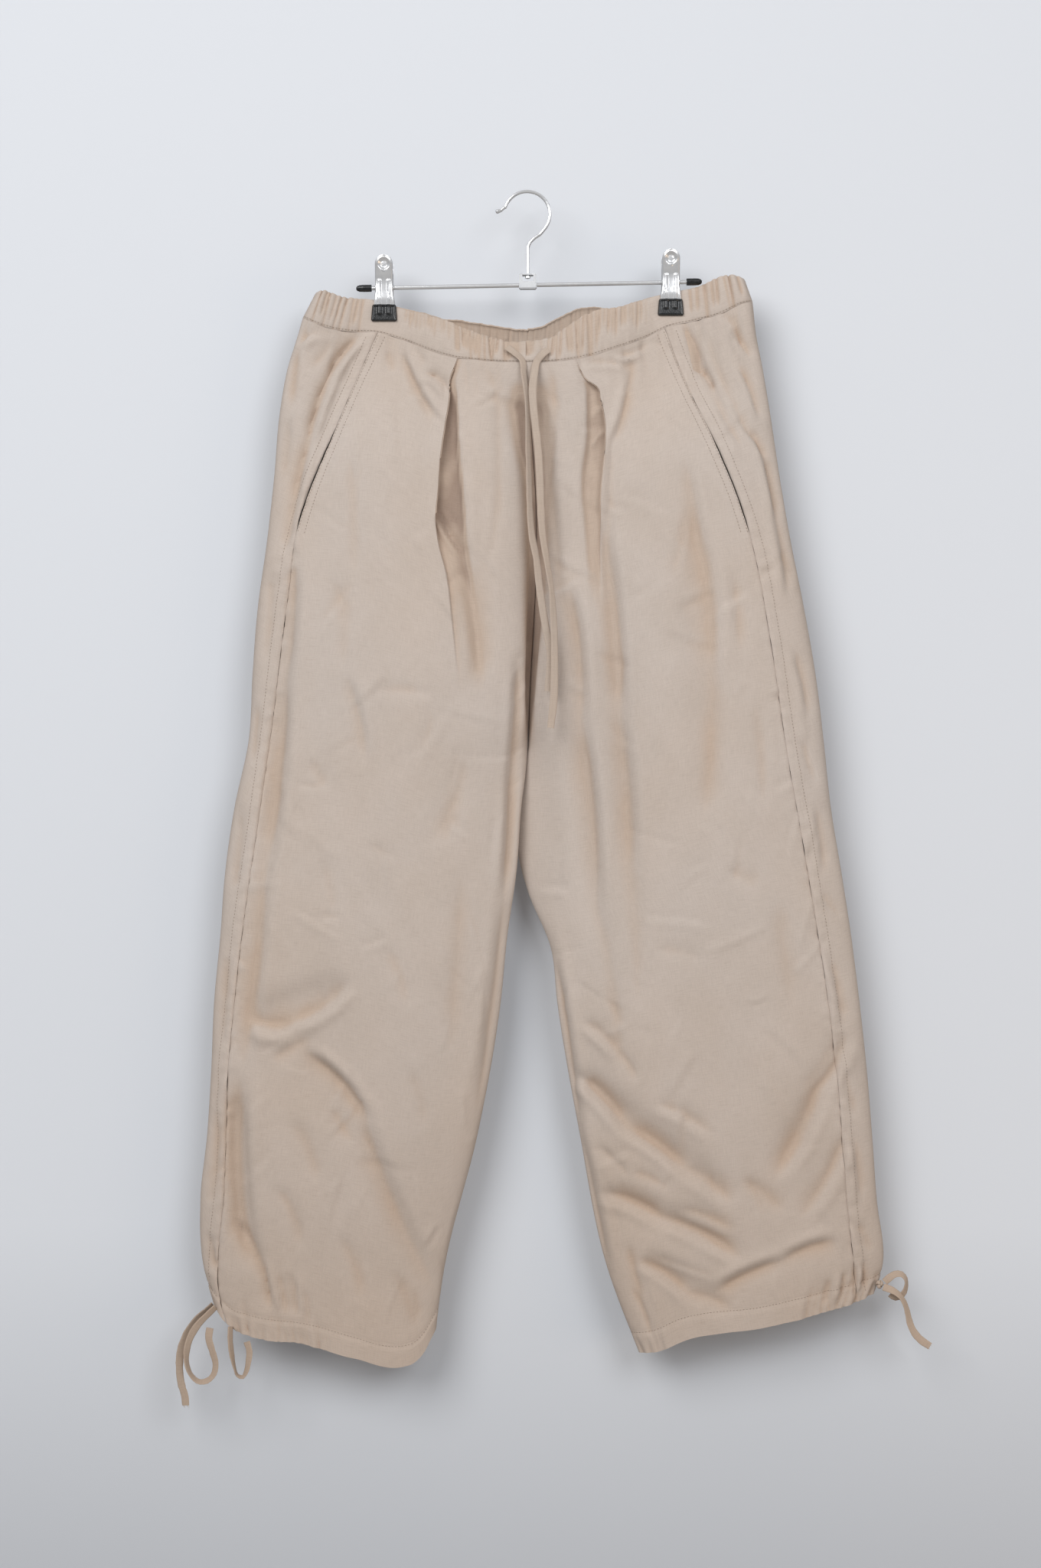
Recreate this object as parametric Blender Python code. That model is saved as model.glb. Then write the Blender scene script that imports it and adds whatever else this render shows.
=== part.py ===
"""Drawstring trousers hanging by the waist from a clip hanger.

The origin is the inside top of the hook, where a nail or rail carries it. X runs to the wearer's left,
Y into the wall behind and Z up. Right and left are the wearer's.
"""

import math

import bmesh
import bpy
import numpy as np
from mathutils import Matrix, Vector

# Walls and gaps. Half a seam's gap is a little over half of it, because flat facets come closer than curves.
PANEL_WALL = 0.0012
BAND_WALL = 0.0018
SEAM_GAP = 0.0003
CENTRE_HALF_GAP = 0.7 * SEAM_GAP
SIDE_HALF_GAP = 0.6 * SEAM_GAP
WAIST_GAP = 0.0006
HEM_CHANNEL = 0.019
HEM_EXTRA = 0.0005
HEM_ROUNDING = 0.004
POCKET_GAP = 0.0022
POCKET_TOP = -0.212
POCKET_BOTTOM = -0.312
POCKET_FADE = 0.030

# Mesh of the cloth
FRONT_COLUMNS = 16
STRIP_COLUMNS = 7
BACK_COLUMNS = 13
ROWS_ABOVE_CROTCH = 10
ROWS_BELOW_CROTCH = 13
BAND_COLUMNS = 44
BAND_ROWS = 3
STRIP_SPACING = 0.6
TANGENT_STEP = 0.012
SEAM_SEARCH_START = -0.25
SEAM_SEARCH_STEPS = 12

# Shape of the cloth
CROTCH_HEIGHT = -0.506
EDGE_POWER = 0.8
BAND_BLEND = 0.14
BACK_SEAM_LIFT = 0.008
SEAT_LIFT_ENDS = 0.35
SEAT_LIFT_FROM_SHARE = 0.4
SEAT_LIFT_FROM_TURN = 0.3
SEAT_TURN_IN = 0.12
SEAT_TURN_END = 0.02
FLAT_RISE_TURN = 0.7
FLAT_FALL_TURN = 0.4
LOBE_TURN = 0.80
SEAM_TURN = 0.97
FOLDS_START_TURNS = (0.02, 0.14)
FOLDS_END_TURNS = (0.86, 0.99)
FOLDS_BELOW_WAIST = 0.05
BAND_EDGE_PLACE = 0.07
GATHERS_PER_SIDE = 12
GATHER_DEPTH = 0.0013
GATHER_HEIGHT = 0.0008
GATHER_LOWER_SHARE = 0.35
GATHER_START_TURNS = (0.05, 0.14)
BAND_NARROWING = 0.12
CLIP_PLACE = 0.375
CLIP_GRIP_WIDTH = 0.10
CLIP_GRIP_FADE = 0.3
GRIPPED_DEPTH = 0.0022

# Hanger
HOOK_WIRE = 0.0030
HOOK_INSIDE_RADIUS = 0.0194
HOOK_BALL = 0.0040
HOOK_ARC = (math.radians(162.0), math.radians(-40.0))
HOOK_ARC_STEPS = 22
# The wire's open end and, after the arc, its run down into the bracket, as x and z
HOOK_TIP = ((-0.0270, -0.0168), (-0.0240, -0.0160), (-0.0212, -0.0135))
HOOK_SHANK = (
    (0.0118, -0.0378),
    (0.0066, -0.0412),
    (0.0030, -0.0448),
    (0.0010, -0.0490),
    (0.0007, -0.0560),
    (0.0007, -0.0700),
)
HOOK_FOOT = (0.0007, -0.0762)
# The ball by half of its size along the wire and its width, and the head below the shank by its drop and width
HOOK_BALL_PROFILE = ((-0.9, 0.45), (-0.45, 0.9), (0.0, 1.0), (0.55, 0.85))
HOOK_HEAD_PROFILE = ((0.0000, 1.0), (0.0003, 1.7), (0.0016, 1.7), (0.0020, 1.2))
BAR_DIAMETER = 0.0038
BAR_CENTRE = Vector((0.0018, 0.0, -0.0842))
BAR_LENGTH = 0.3055
BAR_TILT = math.radians(1.13)
BAR_CLEARANCE = 0.0003
TIP_LENGTH = 0.0140
TIP_DIAMETER = 0.0064
TIP_BORE_DEPTH = 0.0090
TIP_PROFILE = ((0.0, 1.0), (0.55, 1.0), (0.78, 0.94), (0.92, 0.74), (1.0, 0.36))
TIP_SEGMENTS = 18
BRACKET_SIZE = Vector((0.0160, 0.0080, 0.0140))
BRACKET_WINDOW = Vector((0.0100, 0.0120, 0.0060))
BRACKET_WALL = 0.0015
BRACKET_ROUNDING = 0.0008
BRACKET_PLACE = -0.0011
CLIP_PLACES = {"right": -0.1324, "left": 0.1295}
CLIP_WIDTH = 0.0163
CLIP_JAW_END_WIDTH = 0.0190
CLIP_SHEET = 0.0010
CLIP_TOP = 0.0282
CLIP_PLATE_BOTTOM = -0.0162
CLIP_HOLE_HEIGHT = 0.0203
CLIP_HOLE_RADIUS = 0.0040
CLIP_RIB_OFFSET = 0.0042
CLIP_RIB_SIZE = Vector((0.0024, 0.0016, 0.0170))
CLIP_RIB_DEPTH = 0.0062
CLIP_RIB_HEIGHT = -0.0055
CLIP_CROWN = 0.0009
CLIP_CROWN_BASE = 0.0006
CLIP_FOOT_OVER_JAW = 0.0012
CLIP_COLUMNS = 4
CLIP_EAR_SIZE = Vector((CLIP_SHEET, 0.0075, 0.0110))
CLIP_EAR_DEPTH = 0.00155
CLIP_EAR_INSETS = {"front": 0.0004, "back": 0.0018}
CLIP_SPRING_RADIUS = 0.0031
CLIP_SPRING_LENGTH = 0.0089
CLIP_HOLE_DEPTH = 0.009
JAW_WIDTH = 0.0240
JAW_HEIGHT = 0.0154
JAW_DEPTH = 0.0028
JAW_ROUNDING = 0.0010

# Drawstring and hem ties
TAPE_DIAMETER = 0.0034
TAPE_SPACING = 0.0095

# Half of the garment. A row is a height, the outline's distances from the centre line at the outer and the
# inner edge, and how far the front and the back face stand from the middle of the cloth.
RIGHT_FORM = (
    (-0.10, 0.2010, 0.0130, 0.012, 0.010),
    (-0.13, 0.2095, 0.0130, 0.014, 0.011),
    (-0.16, 0.2188, 0.0123, 0.017, 0.013),
    (-0.20, 0.2260, 0.0052, 0.021, 0.017),
    (-0.26, 0.2313, 0.0004, 0.025, 0.021),
    (-0.32, 0.2380, -0.0014, 0.028, 0.024),
    (-0.38, 0.2463, 0.0016, 0.030, 0.026),
    (-0.44, 0.2510, -0.0028, 0.031, 0.027),
    (-0.50, 0.2545, -0.0006, 0.030, 0.027),
    (-0.56, 0.2672, 0.0032, 0.028, 0.026),
    (-0.62, 0.2760, 0.0070, 0.027, 0.025),
    (-0.68, 0.2806, 0.0160, 0.026, 0.024),
    (-0.74, 0.2862, 0.0225, 0.025, 0.023),
    (-0.80, 0.2888, 0.0325, 0.024, 0.023),
    (-0.86, 0.2925, 0.0440, 0.024, 0.022),
    (-0.92, 0.2987, 0.0585, 0.023, 0.022),
    (-0.98, 0.2960, 0.0740, 0.022, 0.021),
    (-1.02, 0.2850, 0.0825, 0.022, 0.021),
    (-1.07, 0.2800, 0.0860, 0.022, 0.021),
)
LEFT_FORM = (
    (-0.10, 0.2062, 0.0080, 0.012, 0.010),
    (-0.13, 0.2095, 0.0080, 0.014, 0.011),
    (-0.16, 0.2153, 0.0080, 0.017, 0.013),
    (-0.20, 0.2220, 0.0113, 0.021, 0.017),
    (-0.26, 0.2310, 0.0172, 0.025, 0.021),
    (-0.32, 0.2413, 0.0235, 0.028, 0.024),
    (-0.38, 0.2532, 0.0140, 0.030, 0.026),
    (-0.44, 0.2637, 0.0052, 0.031, 0.027),
    (-0.50, 0.2711, 0.0085, 0.030, 0.027),
    (-0.56, 0.2775, 0.0140, 0.028, 0.026),
    (-0.62, 0.2872, 0.0178, 0.027, 0.025),
    (-0.68, 0.2965, 0.0228, 0.026, 0.024),
    (-0.74, 0.3040, 0.0263, 0.025, 0.023),
    (-0.80, 0.3105, 0.0335, 0.024, 0.023),
    (-0.86, 0.3155, 0.0467, 0.024, 0.022),
    (-0.92, 0.3198, 0.0570, 0.023, 0.022),
    (-0.98, 0.3252, 0.0715, 0.022, 0.021),
    (-1.02, 0.3130, 0.0862, 0.022, 0.021),
    (-1.07, 0.3100, 0.1050, 0.022, 0.021),
)

# Centre seams above the crotch: height, x and y
CENTRE_FRONT = (
    (-0.150, -0.0020, -0.0170),
    (-0.180, 0.0010, -0.0090),
    (-0.220, 0.0040, -0.0040),
    (-0.280, 0.0080, 0.0005),
    (-0.340, 0.0085, 0.0035),
    (-0.400, 0.0060, 0.0065),
    (-0.450, 0.0030, 0.0100),
    (-0.506, 0.0010, 0.0140),
)
CENTRE_BACK = (
    (-0.150, 0.0000, 0.0120),
    (-0.220, 0.0000, 0.0180),
    (-0.300, 0.0000, 0.0220),
    (-0.400, 0.0010, 0.0240),
    (-0.460, 0.0020, 0.0210),
    (-0.506, 0.0010, 0.0140),
)

# Inseams below the crotch: height, distance from the centre line towards the leg, and y
RIGHT_INSEAM = (
    (-0.506, -0.0010, 0.0140),
    (-0.530, 0.0012, 0.0060),
    (-0.560, 0.0050, 0.0000),
    (-0.620, 0.0095, -0.0020),
    (-0.680, 0.0180, -0.0020),
    (-0.740, 0.0240, 0.0000),
    (-0.860, 0.0450, 0.0000),
    (-0.980, 0.0750, 0.0000),
    (-1.070, 0.0870, 0.0000),
)
LEFT_INSEAM = (
    (-0.506, 0.0010, 0.0140),
    (-0.560, -0.0085, 0.0160),
    (-0.600, -0.0090, 0.0160),
    (-0.640, 0.0010, 0.0130),
    (-0.690, 0.0215, 0.0060),
    (-0.740, 0.0275, 0.0020),
    (-0.860, 0.0480, 0.0000),
    (-0.980, 0.0725, 0.0000),
    (-1.070, 0.1060, 0.0000),
)

# Side seams, which lie on the front face: height and distance from the centre line
RIGHT_SIDE_SEAM = (
    (-0.126, 0.1355),
    (-0.168, 0.1544),
    (-0.212, 0.1726),
    (-0.315, 0.2097),
    (-0.365, 0.2174),
    (-0.486, 0.2321),
    (-0.553, 0.2412),
    (-0.692, 0.2615),
    (-0.802, 0.2723),
    (-0.913, 0.2764),
    (-1.010, 0.2800),
    (-1.040, 0.2720),
)
LEFT_SIDE_SEAM = (
    (-0.122, 0.1250),
    (-0.148, 0.1348),
    (-0.188, 0.1509),
    (-0.223, 0.1670),
    (-0.307, 0.1996),
    (-0.405, 0.2195),
    (-0.512, 0.2356),
    (-0.634, 0.2573),
    (-0.792, 0.2804),
    (-0.929, 0.2916),
    (-1.013, 0.3007),
    (-1.060, 0.3020),
)

# Across one side, from its outer edge at share 0 to the centre line at share 1
RIGHT_WAIST_SEAM = (
    (0.000, -0.1148),
    (0.085, -0.1225),
    (0.208, -0.1274),
    (0.346, -0.1280),
    (0.470, -0.1351),
    (0.565, -0.1435),
    (0.695, -0.1526),
    (0.797, -0.1554),
    (1.000, -0.1580),
)
LEFT_WAIST_SEAM = (
    (0.000, -0.1001),
    (0.083, -0.1057),
    (0.138, -0.1113),
    (0.248, -0.1169),
    (0.397, -0.1239),
    (0.479, -0.1323),
    (0.614, -0.1435),
    (0.784, -0.1540),
    (1.000, -0.1580),
)
RIGHT_BAND_TOP = (
    (0.000, -0.0925),
    (0.060, -0.0900),
    (0.130, -0.0945),
    (0.286, -0.0973),
    (0.420, -0.1050),
    (0.540, -0.1099),
    (0.634, -0.1160),
    (0.797, -0.1295),
    (0.900, -0.1362),
    (1.000, -0.1372),
)
LEFT_BAND_TOP = (
    (0.000, -0.0800),
    (0.050, -0.0765),
    (0.148, -0.0791),
    (0.220, -0.0847),
    (0.296, -0.0889),
    (0.425, -0.0945),
    (0.506, -0.0987),
    (0.600, -0.1043),
    (0.737, -0.1110),
    (0.820, -0.1220),
    (0.900, -0.1335),
    (1.000, -0.1372),
)
RIGHT_HEM = (
    (0.000, -1.0157),
    (0.031, -1.0276),
    (0.072, -1.0360),
    (0.148, -1.0409),
    (0.466, -1.0507),
    (0.631, -1.0605),
    (0.759, -1.0682),
    (0.859, -1.0696),
    (0.917, -1.0660),
    (0.960, -1.0560),
    (1.000, -1.0370),
)
LEFT_HEM = (
    (0.000, -1.0066),
    (0.065, -1.0122),
    (0.209, -1.0206),
    (0.444, -1.0332),
    (0.765, -1.0437),
    (0.915, -1.0570),
    (1.000, -1.0598),
)
BAND_SIDE_LEAN = {"right": 0.943, "left": 0.965}
BACK_BAND_RISE = ((0.60, 0.0), (0.80, 0.0108), (0.90, 0.0142), (1.00, 0.0145))

# How far each face of the waist stands from the middle, by share; the clips pinch it nearly shut
FRONT_WAIST_DEPTH = (
    (0.00, 0.0120),
    (0.10, 0.0105),
    (0.20, 0.0062),
    (0.29, 0.0019),
    (0.375, 0.0018),
    (0.46, 0.0019),
    (0.56, 0.0080),
    (0.70, 0.0130),
    (0.85, 0.0160),
    (1.00, 0.0170),
)
BACK_WAIST_DEPTH = (
    (0.00, 0.0110),
    (0.10, 0.0095),
    (0.16, 0.0062),
    (0.24, 0.0019),
    (0.375, 0.0018),
    (0.46, 0.0019),
    (0.60, 0.0070),
    (0.80, 0.0100),
    (1.00, 0.0120),
)

# Largest folds of the front and the back: x and z of both ends, half width and depth, troughs positive
FRONT_FOLDS = (
    (-0.0650, -0.165, -0.0680, -0.330, 0.011, 0.0100),
    (-0.0590, -0.330, -0.0520, -0.440, 0.013, 0.0050),
    (0.0560, -0.165, 0.0640, -0.300, 0.010, 0.0095),
    (0.0610, -0.300, 0.0720, -0.480, 0.014, 0.0045),
    (-0.1500, -0.135, -0.2000, -0.270, 0.014, 0.0050),
    (0.1400, -0.125, 0.1720, -0.200, 0.012, 0.0045),
    (-0.2200, -0.360, -0.2380, -0.640, 0.012, 0.0045),
    (-0.0100, -0.430, -0.0200, -0.640, 0.010, 0.0040),
    (0.0400, -0.380, 0.0600, -0.680, 0.014, 0.0045),
    (0.0720, -0.300, 0.0920, -0.640, 0.013, 0.0040),
    (0.1530, -0.300, 0.1620, -0.560, 0.016, 0.0040),
    (-0.2480, -0.750, -0.1640, -0.720, 0.014, 0.0045),
    (-0.1980, -0.785, -0.0850, -0.990, 0.016, 0.0050),
    (-0.2600, -0.830, -0.2480, -0.970, 0.011, 0.0050),
    (0.0480, -0.810, 0.1830, -0.915, 0.014, 0.0055),
    (0.0700, -0.915, 0.1900, -0.965, 0.014, 0.0050),
    (0.1080, -0.975, 0.1830, -1.015, 0.012, 0.0040),
    (0.2800, -0.800, 0.2280, -0.890, 0.014, 0.0045),
)
BACK_FOLDS = (
    (-0.0400, -0.160, -0.0480, -0.300, 0.012, 0.0050),
    (-0.0900, -0.150, -0.1000, -0.260, 0.012, 0.0045),
    (-0.1650, -0.150, -0.1850, -0.300, 0.014, 0.0050),
    (0.0380, -0.160, 0.0460, -0.280, 0.012, 0.0050),
    (0.0900, -0.150, 0.1050, -0.280, 0.012, 0.0045),
    (0.1620, -0.150, 0.1820, -0.290, 0.014, 0.0050),
    (-0.0700, -0.400, -0.0900, -0.700, 0.016, 0.0045),
    (0.0800, -0.420, 0.1000, -0.720, 0.016, 0.0045),
    (-0.2200, -0.760, -0.1100, -0.880, 0.015, 0.0045),
    (0.2400, -0.780, 0.1200, -0.890, 0.015, 0.0045),
    (0.1100, -0.960, 0.2200, -1.000, 0.014, 0.0040),
    (-0.1300, -0.960, -0.2300, -0.990, 0.014, 0.0040),
)

# Routes of the tapes, in metres, chosen by hand
DRAWSTRING_RIGHT = (
    (-0.0048, -0.0189, -0.1555), (-0.0030, -0.0225, -0.1700), (-0.0004, -0.0250, -0.1880),
    (0.0008, -0.0270, -0.2100), (0.0010, -0.0285, -0.2350), (0.0016, -0.0300, -0.2600),
    (0.0024, -0.0316, -0.2900), (0.0046, -0.0330, -0.3180), (0.0084, -0.0338, -0.3370),
    (0.0108, -0.0342, -0.3600), (0.0138, -0.0345, -0.3820), (0.0172, -0.0347, -0.4020),
    (0.0208, -0.0348, -0.4210), (0.0204, -0.0348, -0.4400), (0.0186, -0.0348, -0.4570),
)
DRAWSTRING_LEFT = (
    (0.0095, -0.0182, -0.1557), (0.0066, -0.0240, -0.1680), (0.0050, -0.0275, -0.1830),
    (0.0060, -0.0320, -0.2040), (0.0090, -0.0345, -0.2300), (0.0112, -0.0360, -0.2600),
    (0.0122, -0.0370, -0.2880), (0.0138, -0.0382, -0.3150), (0.0176, -0.0388, -0.3400),
    (0.0218, -0.0392, -0.3650), (0.0236, -0.0394, -0.3900), (0.0245, -0.0395, -0.4150),
    (0.0245, -0.0395, -0.4400), (0.0238, -0.0394, -0.4650), (0.0210, -0.0392, -0.4900),
)
HEM_TIE_RIGHT_TAIL = (
    (-0.2874, -0.0017, -1.0153), (-0.2930, -0.0040, -1.0205), (-0.2982, -0.0060, -1.0245),
    (-0.3040, -0.0070, -1.0310), (-0.3090, -0.0075, -1.0380), (-0.3130, -0.0080, -1.0470),
    (-0.3158, -0.0080, -1.0565), (-0.3168, -0.0080, -1.0665), (-0.3166, -0.0080, -1.0770),
    (-0.3152, -0.0080, -1.0870), (-0.3118, -0.0080, -1.0990), (-0.3112, -0.0080, -1.1065),
)
HEM_TIE_RIGHT_LOOP = (
    (-0.2842, -0.0083, -1.0172), (-0.2905, -0.0120, -1.0230), (-0.2985, -0.0135, -1.0310),
    (-0.3060, -0.0140, -1.0430), (-0.3095, -0.0140, -1.0560), (-0.3092, -0.0140, -1.0680),
    (-0.3050, -0.0140, -1.0780), (-0.2985, -0.0140, -1.0835), (-0.2905, -0.0140, -1.0825),
    (-0.2850, -0.0138, -1.0770), (-0.2832, -0.0136, -1.0680), (-0.2862, -0.0134, -1.0560),
    (-0.2895, -0.0130, -1.0440), (-0.2885, -0.0126, -1.0350),
)
HEM_TIE_RIGHT_SHORT_LOOP = (
    (-0.2695, -0.0153, -1.0331), (-0.2694, -0.0178, -1.0440), (-0.2678, -0.0185, -1.0580),
    (-0.2655, -0.0185, -1.0690), (-0.2625, -0.0185, -1.0770), (-0.2585, -0.0185, -1.0785),
    (-0.2548, -0.0185, -1.0730), (-0.2528, -0.0185, -1.0640), (-0.2520, -0.0180, -1.0550),
    (-0.2545, -0.0172, -1.0465),
)
HEM_TIE_LEFT_LOOP = (
    (0.3260, -0.0077, -0.9942), (0.3310, -0.0085, -0.9895), (0.3355, -0.0085, -0.9868),
    (0.3410, -0.0085, -0.9868), (0.3450, -0.0085, -0.9910), (0.3453, -0.0085, -0.9985),
    (0.3415, -0.0085, -1.0060), (0.3355, -0.0085, -1.0080), (0.3310, -0.0082, -1.0050),
)
HEM_TIE_LEFT_TAIL = (
    (0.3242, -0.0115, -0.9980), (0.3322, -0.0145, -1.0005), (0.3385, -0.0150, -1.0050),
    (0.3430, -0.0150, -1.0120), (0.3455, -0.0150, -1.0200), (0.3478, -0.0150, -1.0300),
    (0.3520, -0.0150, -1.0390), (0.3585, -0.0150, -1.0460), (0.3660, -0.0150, -1.0510),
)
HEM_TIE_LEFT_KNOT_CENTRE = Vector((0.3213, -0.0076, -0.9962))
HEM_TIE_LEFT_KNOT_SIZE = Vector((0.0042, 0.0034, 0.0050))

# Finishes: colour, roughness and metallic value
FINISHES = {
    "cloth": ((0.50, 0.42, 0.35), 0.90, 0.0),
    "chrome": ((0.86, 0.87, 0.88), 0.12, 1.0),
    "rubber": ((0.02, 0.02, 0.022), 0.35, 0.0),
}


def clear_scene():
    for obj in list(bpy.data.objects):
        bpy.data.objects.remove(obj, do_unlink=True)


def make_finish(name):
    colour, roughness, metallic = FINISHES[name]
    material = bpy.data.materials.new(name)
    material.use_nodes = True
    shader = material.node_tree.nodes["Principled BSDF"]
    shader.inputs["Base Color"].default_value = (*colour, 1.0)
    shader.inputs["Roughness"].default_value = roughness
    shader.inputs["Metallic"].default_value = metallic
    return material


def smooth(low, high, value):
    """0 below low, 1 above high, and an S-curve between."""
    share = np.clip((value - low) / (high - low), 0.0, 1.0)
    return share * share * (3.0 - 2.0 * share)


def curve_of(rows, column, at):
    """A smooth curve through one column of a table whose first column runs evenly up or down."""
    table = np.array(rows, float)
    keys = table[:, 0]
    values = table[:, column]
    if keys[0] > keys[-1]:
        keys = keys[::-1]
        values = values[::-1]
    slopes = np.gradient(values, keys)
    at = np.clip(at, keys[0], keys[-1])
    index = np.clip(np.searchsorted(keys, at) - 1, 0, len(keys) - 2)
    span = keys[index + 1] - keys[index]
    t = (at - keys[index]) / span
    start = values[index] * (1 + 2 * t) * (1 - t) ** 2 + slopes[index] * span * t * (1 - t) ** 2
    end = values[index + 1] * t * t * (3 - 2 * t) + slopes[index + 1] * span * t * t * (t - 1)
    return start + end


class Side:
    """One side of the trousers. sign is -1 for the wearer's right and 1 for the left."""

    def __init__(self, name, sign, form, inseam, side_seam, waist_seam, band_top, hem):
        self.name = name
        self.sign = sign
        self.form = form
        self.inseam = inseam
        self.side_seam = side_seam
        self.waist_seam = waist_seam
        self.band_top = band_top
        self.hem = hem
        self.waist_reach = 1.0 - curve_of(form, 2, waist_seam[-1][1]) / curve_of(form, 1, waist_seam[-1][1])
        top = waist_seam[-1][1]
        self.crotch = (top - CROTCH_HEIGHT) / (top - hem[-1][1])


SIDES = (
    Side("right", -1, RIGHT_FORM, RIGHT_INSEAM, RIGHT_SIDE_SEAM, RIGHT_WAIST_SEAM, RIGHT_BAND_TOP, RIGHT_HEM),
    Side("left", 1, LEFT_FORM, LEFT_INSEAM, LEFT_SIDE_SEAM, LEFT_WAIST_SEAM, LEFT_BAND_TOP, LEFT_HEM),
)


def shut_of(side, turn, down):
    """0 where the back lies flat up to its centre seam, and 1 where the cloth turns in to meet its seam."""
    return np.where(turn < 0, 1.0, smooth(side.crotch - SEAT_TURN_IN, side.crotch - SEAT_TURN_END, down))


def share_of(side, turn, down):
    """Share of the way from the outer edge to the centre. turn is -1 at the front's centre and 0 at the edge."""
    around = np.abs(turn)
    round_share = (1.0 - np.cos(math.pi * around)) / 2.0
    flat_share = 1.0 - np.cos(math.pi * around / 2.0)
    shut = shut_of(side, turn, down)
    return flat_share + (round_share - flat_share) * shut


def fold_relief(folds, x, z):
    """How far the folds press the face in at each point."""
    relief = np.zeros_like(x)
    for x0, z0, x1, z1, half_width, depth in folds:
        length2 = (x1 - x0) ** 2 + (z1 - z0) ** 2
        along = ((x - x0) * (x1 - x0) + (z - z0) * (z1 - z0)) / length2
        nearest = np.clip(along, 0.0, 1.0)
        away = np.hypot(x - x0 - nearest * (x1 - x0), z - z0 - nearest * (z1 - z0))
        taper = smooth(-0.15, 0.25, along) * smooth(-0.15, 0.35, 1.0 - along)
        relief += depth * taper * np.exp(-((away / half_width) ** 2))
    return relief


def height_of(side, turn, down):
    """Height of a point at down, 0 at the waist seam and 1 at the hem."""
    share = share_of(side, turn, down)
    top = curve_of(side.waist_seam, 1, share * side.waist_reach)
    hem = curve_of(side.hem, 1, share)
    seat = smooth(0.0, SEAT_LIFT_FROM_TURN, turn) * smooth(SEAT_LIFT_FROM_SHARE, 1.0, share)
    lift = BACK_SEAM_LIFT * seat * np.clip(1 - down / SEAT_LIFT_ENDS, 0, 1) ** 2
    return top + (hem - top) * down + lift


def waist_depth(turn, place):
    """y of the waist, which the clips pinch. place is 0 at the outer edge and 1 on the centre line."""
    edge = np.clip(place / BAND_EDGE_PLACE, 0, 1)
    edge = np.sqrt(edge * (2.0 - edge)) ** EDGE_POWER
    front = -edge * np.maximum(curve_of(FRONT_WAIST_DEPTH, 1, place), GRIPPED_DEPTH)
    back = edge * np.maximum(curve_of(BACK_WAIST_DEPTH, 1, place), GRIPPED_DEPTH)
    return np.where(turn < 0, front, back)


def point_on(side, turn, down):
    """Outer surface of one side, as arrays x, y and z."""
    turn, down = np.broadcast_arrays(np.asarray(turn, float), np.asarray(down, float))
    z = height_of(side, turn, down)
    share = share_of(side, turn, down)
    shut = shut_of(side, turn, down)
    around = np.abs(turn)
    front = turn < 0
    outer = curve_of(side.form, 1, z)
    inner = curve_of(side.form, 2, z)
    above = down <= side.crotch + 1e-9
    seam_front = side.sign * curve_of(CENTRE_FRONT, 1, z)
    seam_back = side.sign * curve_of(CENTRE_BACK, 1, z)
    seam_x = np.where(above, np.where(front, seam_front, seam_back), curve_of(side.inseam, 1, z))
    seam_front_y = curve_of(CENTRE_FRONT, 2, z)
    seam_back_y = curve_of(CENTRE_BACK, 2, z)
    seam_y = np.where(above, np.where(front, seam_front_y, seam_back_y), curve_of(side.inseam, 2, z))
    lobe = np.where(front | ~above, inner, seam_x)
    across = outer + (lobe - outer) * share
    across += (seam_x + CENTRE_HALF_GAP - lobe) * smooth(LOBE_TURN, 1.0, around) ** 2
    face = np.where(front, -curve_of(side.form, 3, z), curve_of(side.form, 4, z))
    end = seam_y / face
    bulge = np.sin(math.pi * np.clip(around, 0.0, 1.0)) ** EDGE_POWER
    turned_in = np.where(around < 0.5, bulge, end + (1.0 - end) * bulge)
    rise = np.sin(math.pi / 2 * np.clip(around / FLAT_RISE_TURN, 0.0, 1.0)) ** EDGE_POWER
    flat = rise * (1.0 + (end - 1.0) * smooth(FLAT_FALL_TURN, 1.0, around))
    leg = face * (flat + (turned_in - flat) * shut)
    blend = smooth(0.0, BAND_BLEND, down)
    y = waist_depth(turn, share * side.waist_reach) * (1.0 - blend) + leg * blend
    x = side.sign * across
    fade = smooth(*FOLDS_START_TURNS, around) * smooth(0.0, FOLDS_BELOW_WAIST, down)
    fade *= 1.0 - smooth(*FOLDS_END_TURNS, around)
    relief = np.where(front, fold_relief(FRONT_FOLDS, x, z), -fold_relief(BACK_FOLDS, x, z))
    y = y + relief * fade
    y = y + np.where(above, 0.0, np.where(front, -1.0, 1.0) * CENTRE_HALF_GAP * smooth(SEAM_TURN, 1.0, around))
    return x, y, z


def inward(side, turn, down):
    """Level unit vector from the outer surface into the garment."""
    ahead = np.clip(turn + TANGENT_STEP, -1.0, 1.0)
    behind = np.clip(turn - TANGENT_STEP, -1.0, 1.0)
    x1, y1, _ = point_on(side, ahead, down)
    x0, y0, _ = point_on(side, behind, down)
    tx = x1 - x0
    ty = y1 - y0
    length = np.hypot(tx, ty)
    nx = -side.sign * ty / length
    ny = side.sign * tx / length
    return nx, ny


def side_seam_turn(side, down):
    """The turn, below 0, at which the side seam lies at this distance down."""
    turn = np.full_like(down, SEAM_SEARCH_START)
    for _ in range(SEAM_SEARCH_STEPS):
        z = height_of(side, turn, down)
        outer = curve_of(side.form, 1, z)
        inner = curve_of(side.form, 2, z)
        seam = curve_of(side.side_seam, 1, z)
        share = np.clip((outer - seam) / (outer - inner), 0.001, 0.9)
        turn = 0.5 * turn - 0.5 * np.arccos(1.0 - 2.0 * share) / math.pi
    return turn


def rows_down(side):
    above = np.linspace(0.0, side.crotch, ROWS_ABOVE_CROTCH + 1)
    below = np.linspace(side.crotch, 1.0, ROWS_BELOW_CROTCH + 1)
    return np.concatenate([above, below[1:]])


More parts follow.
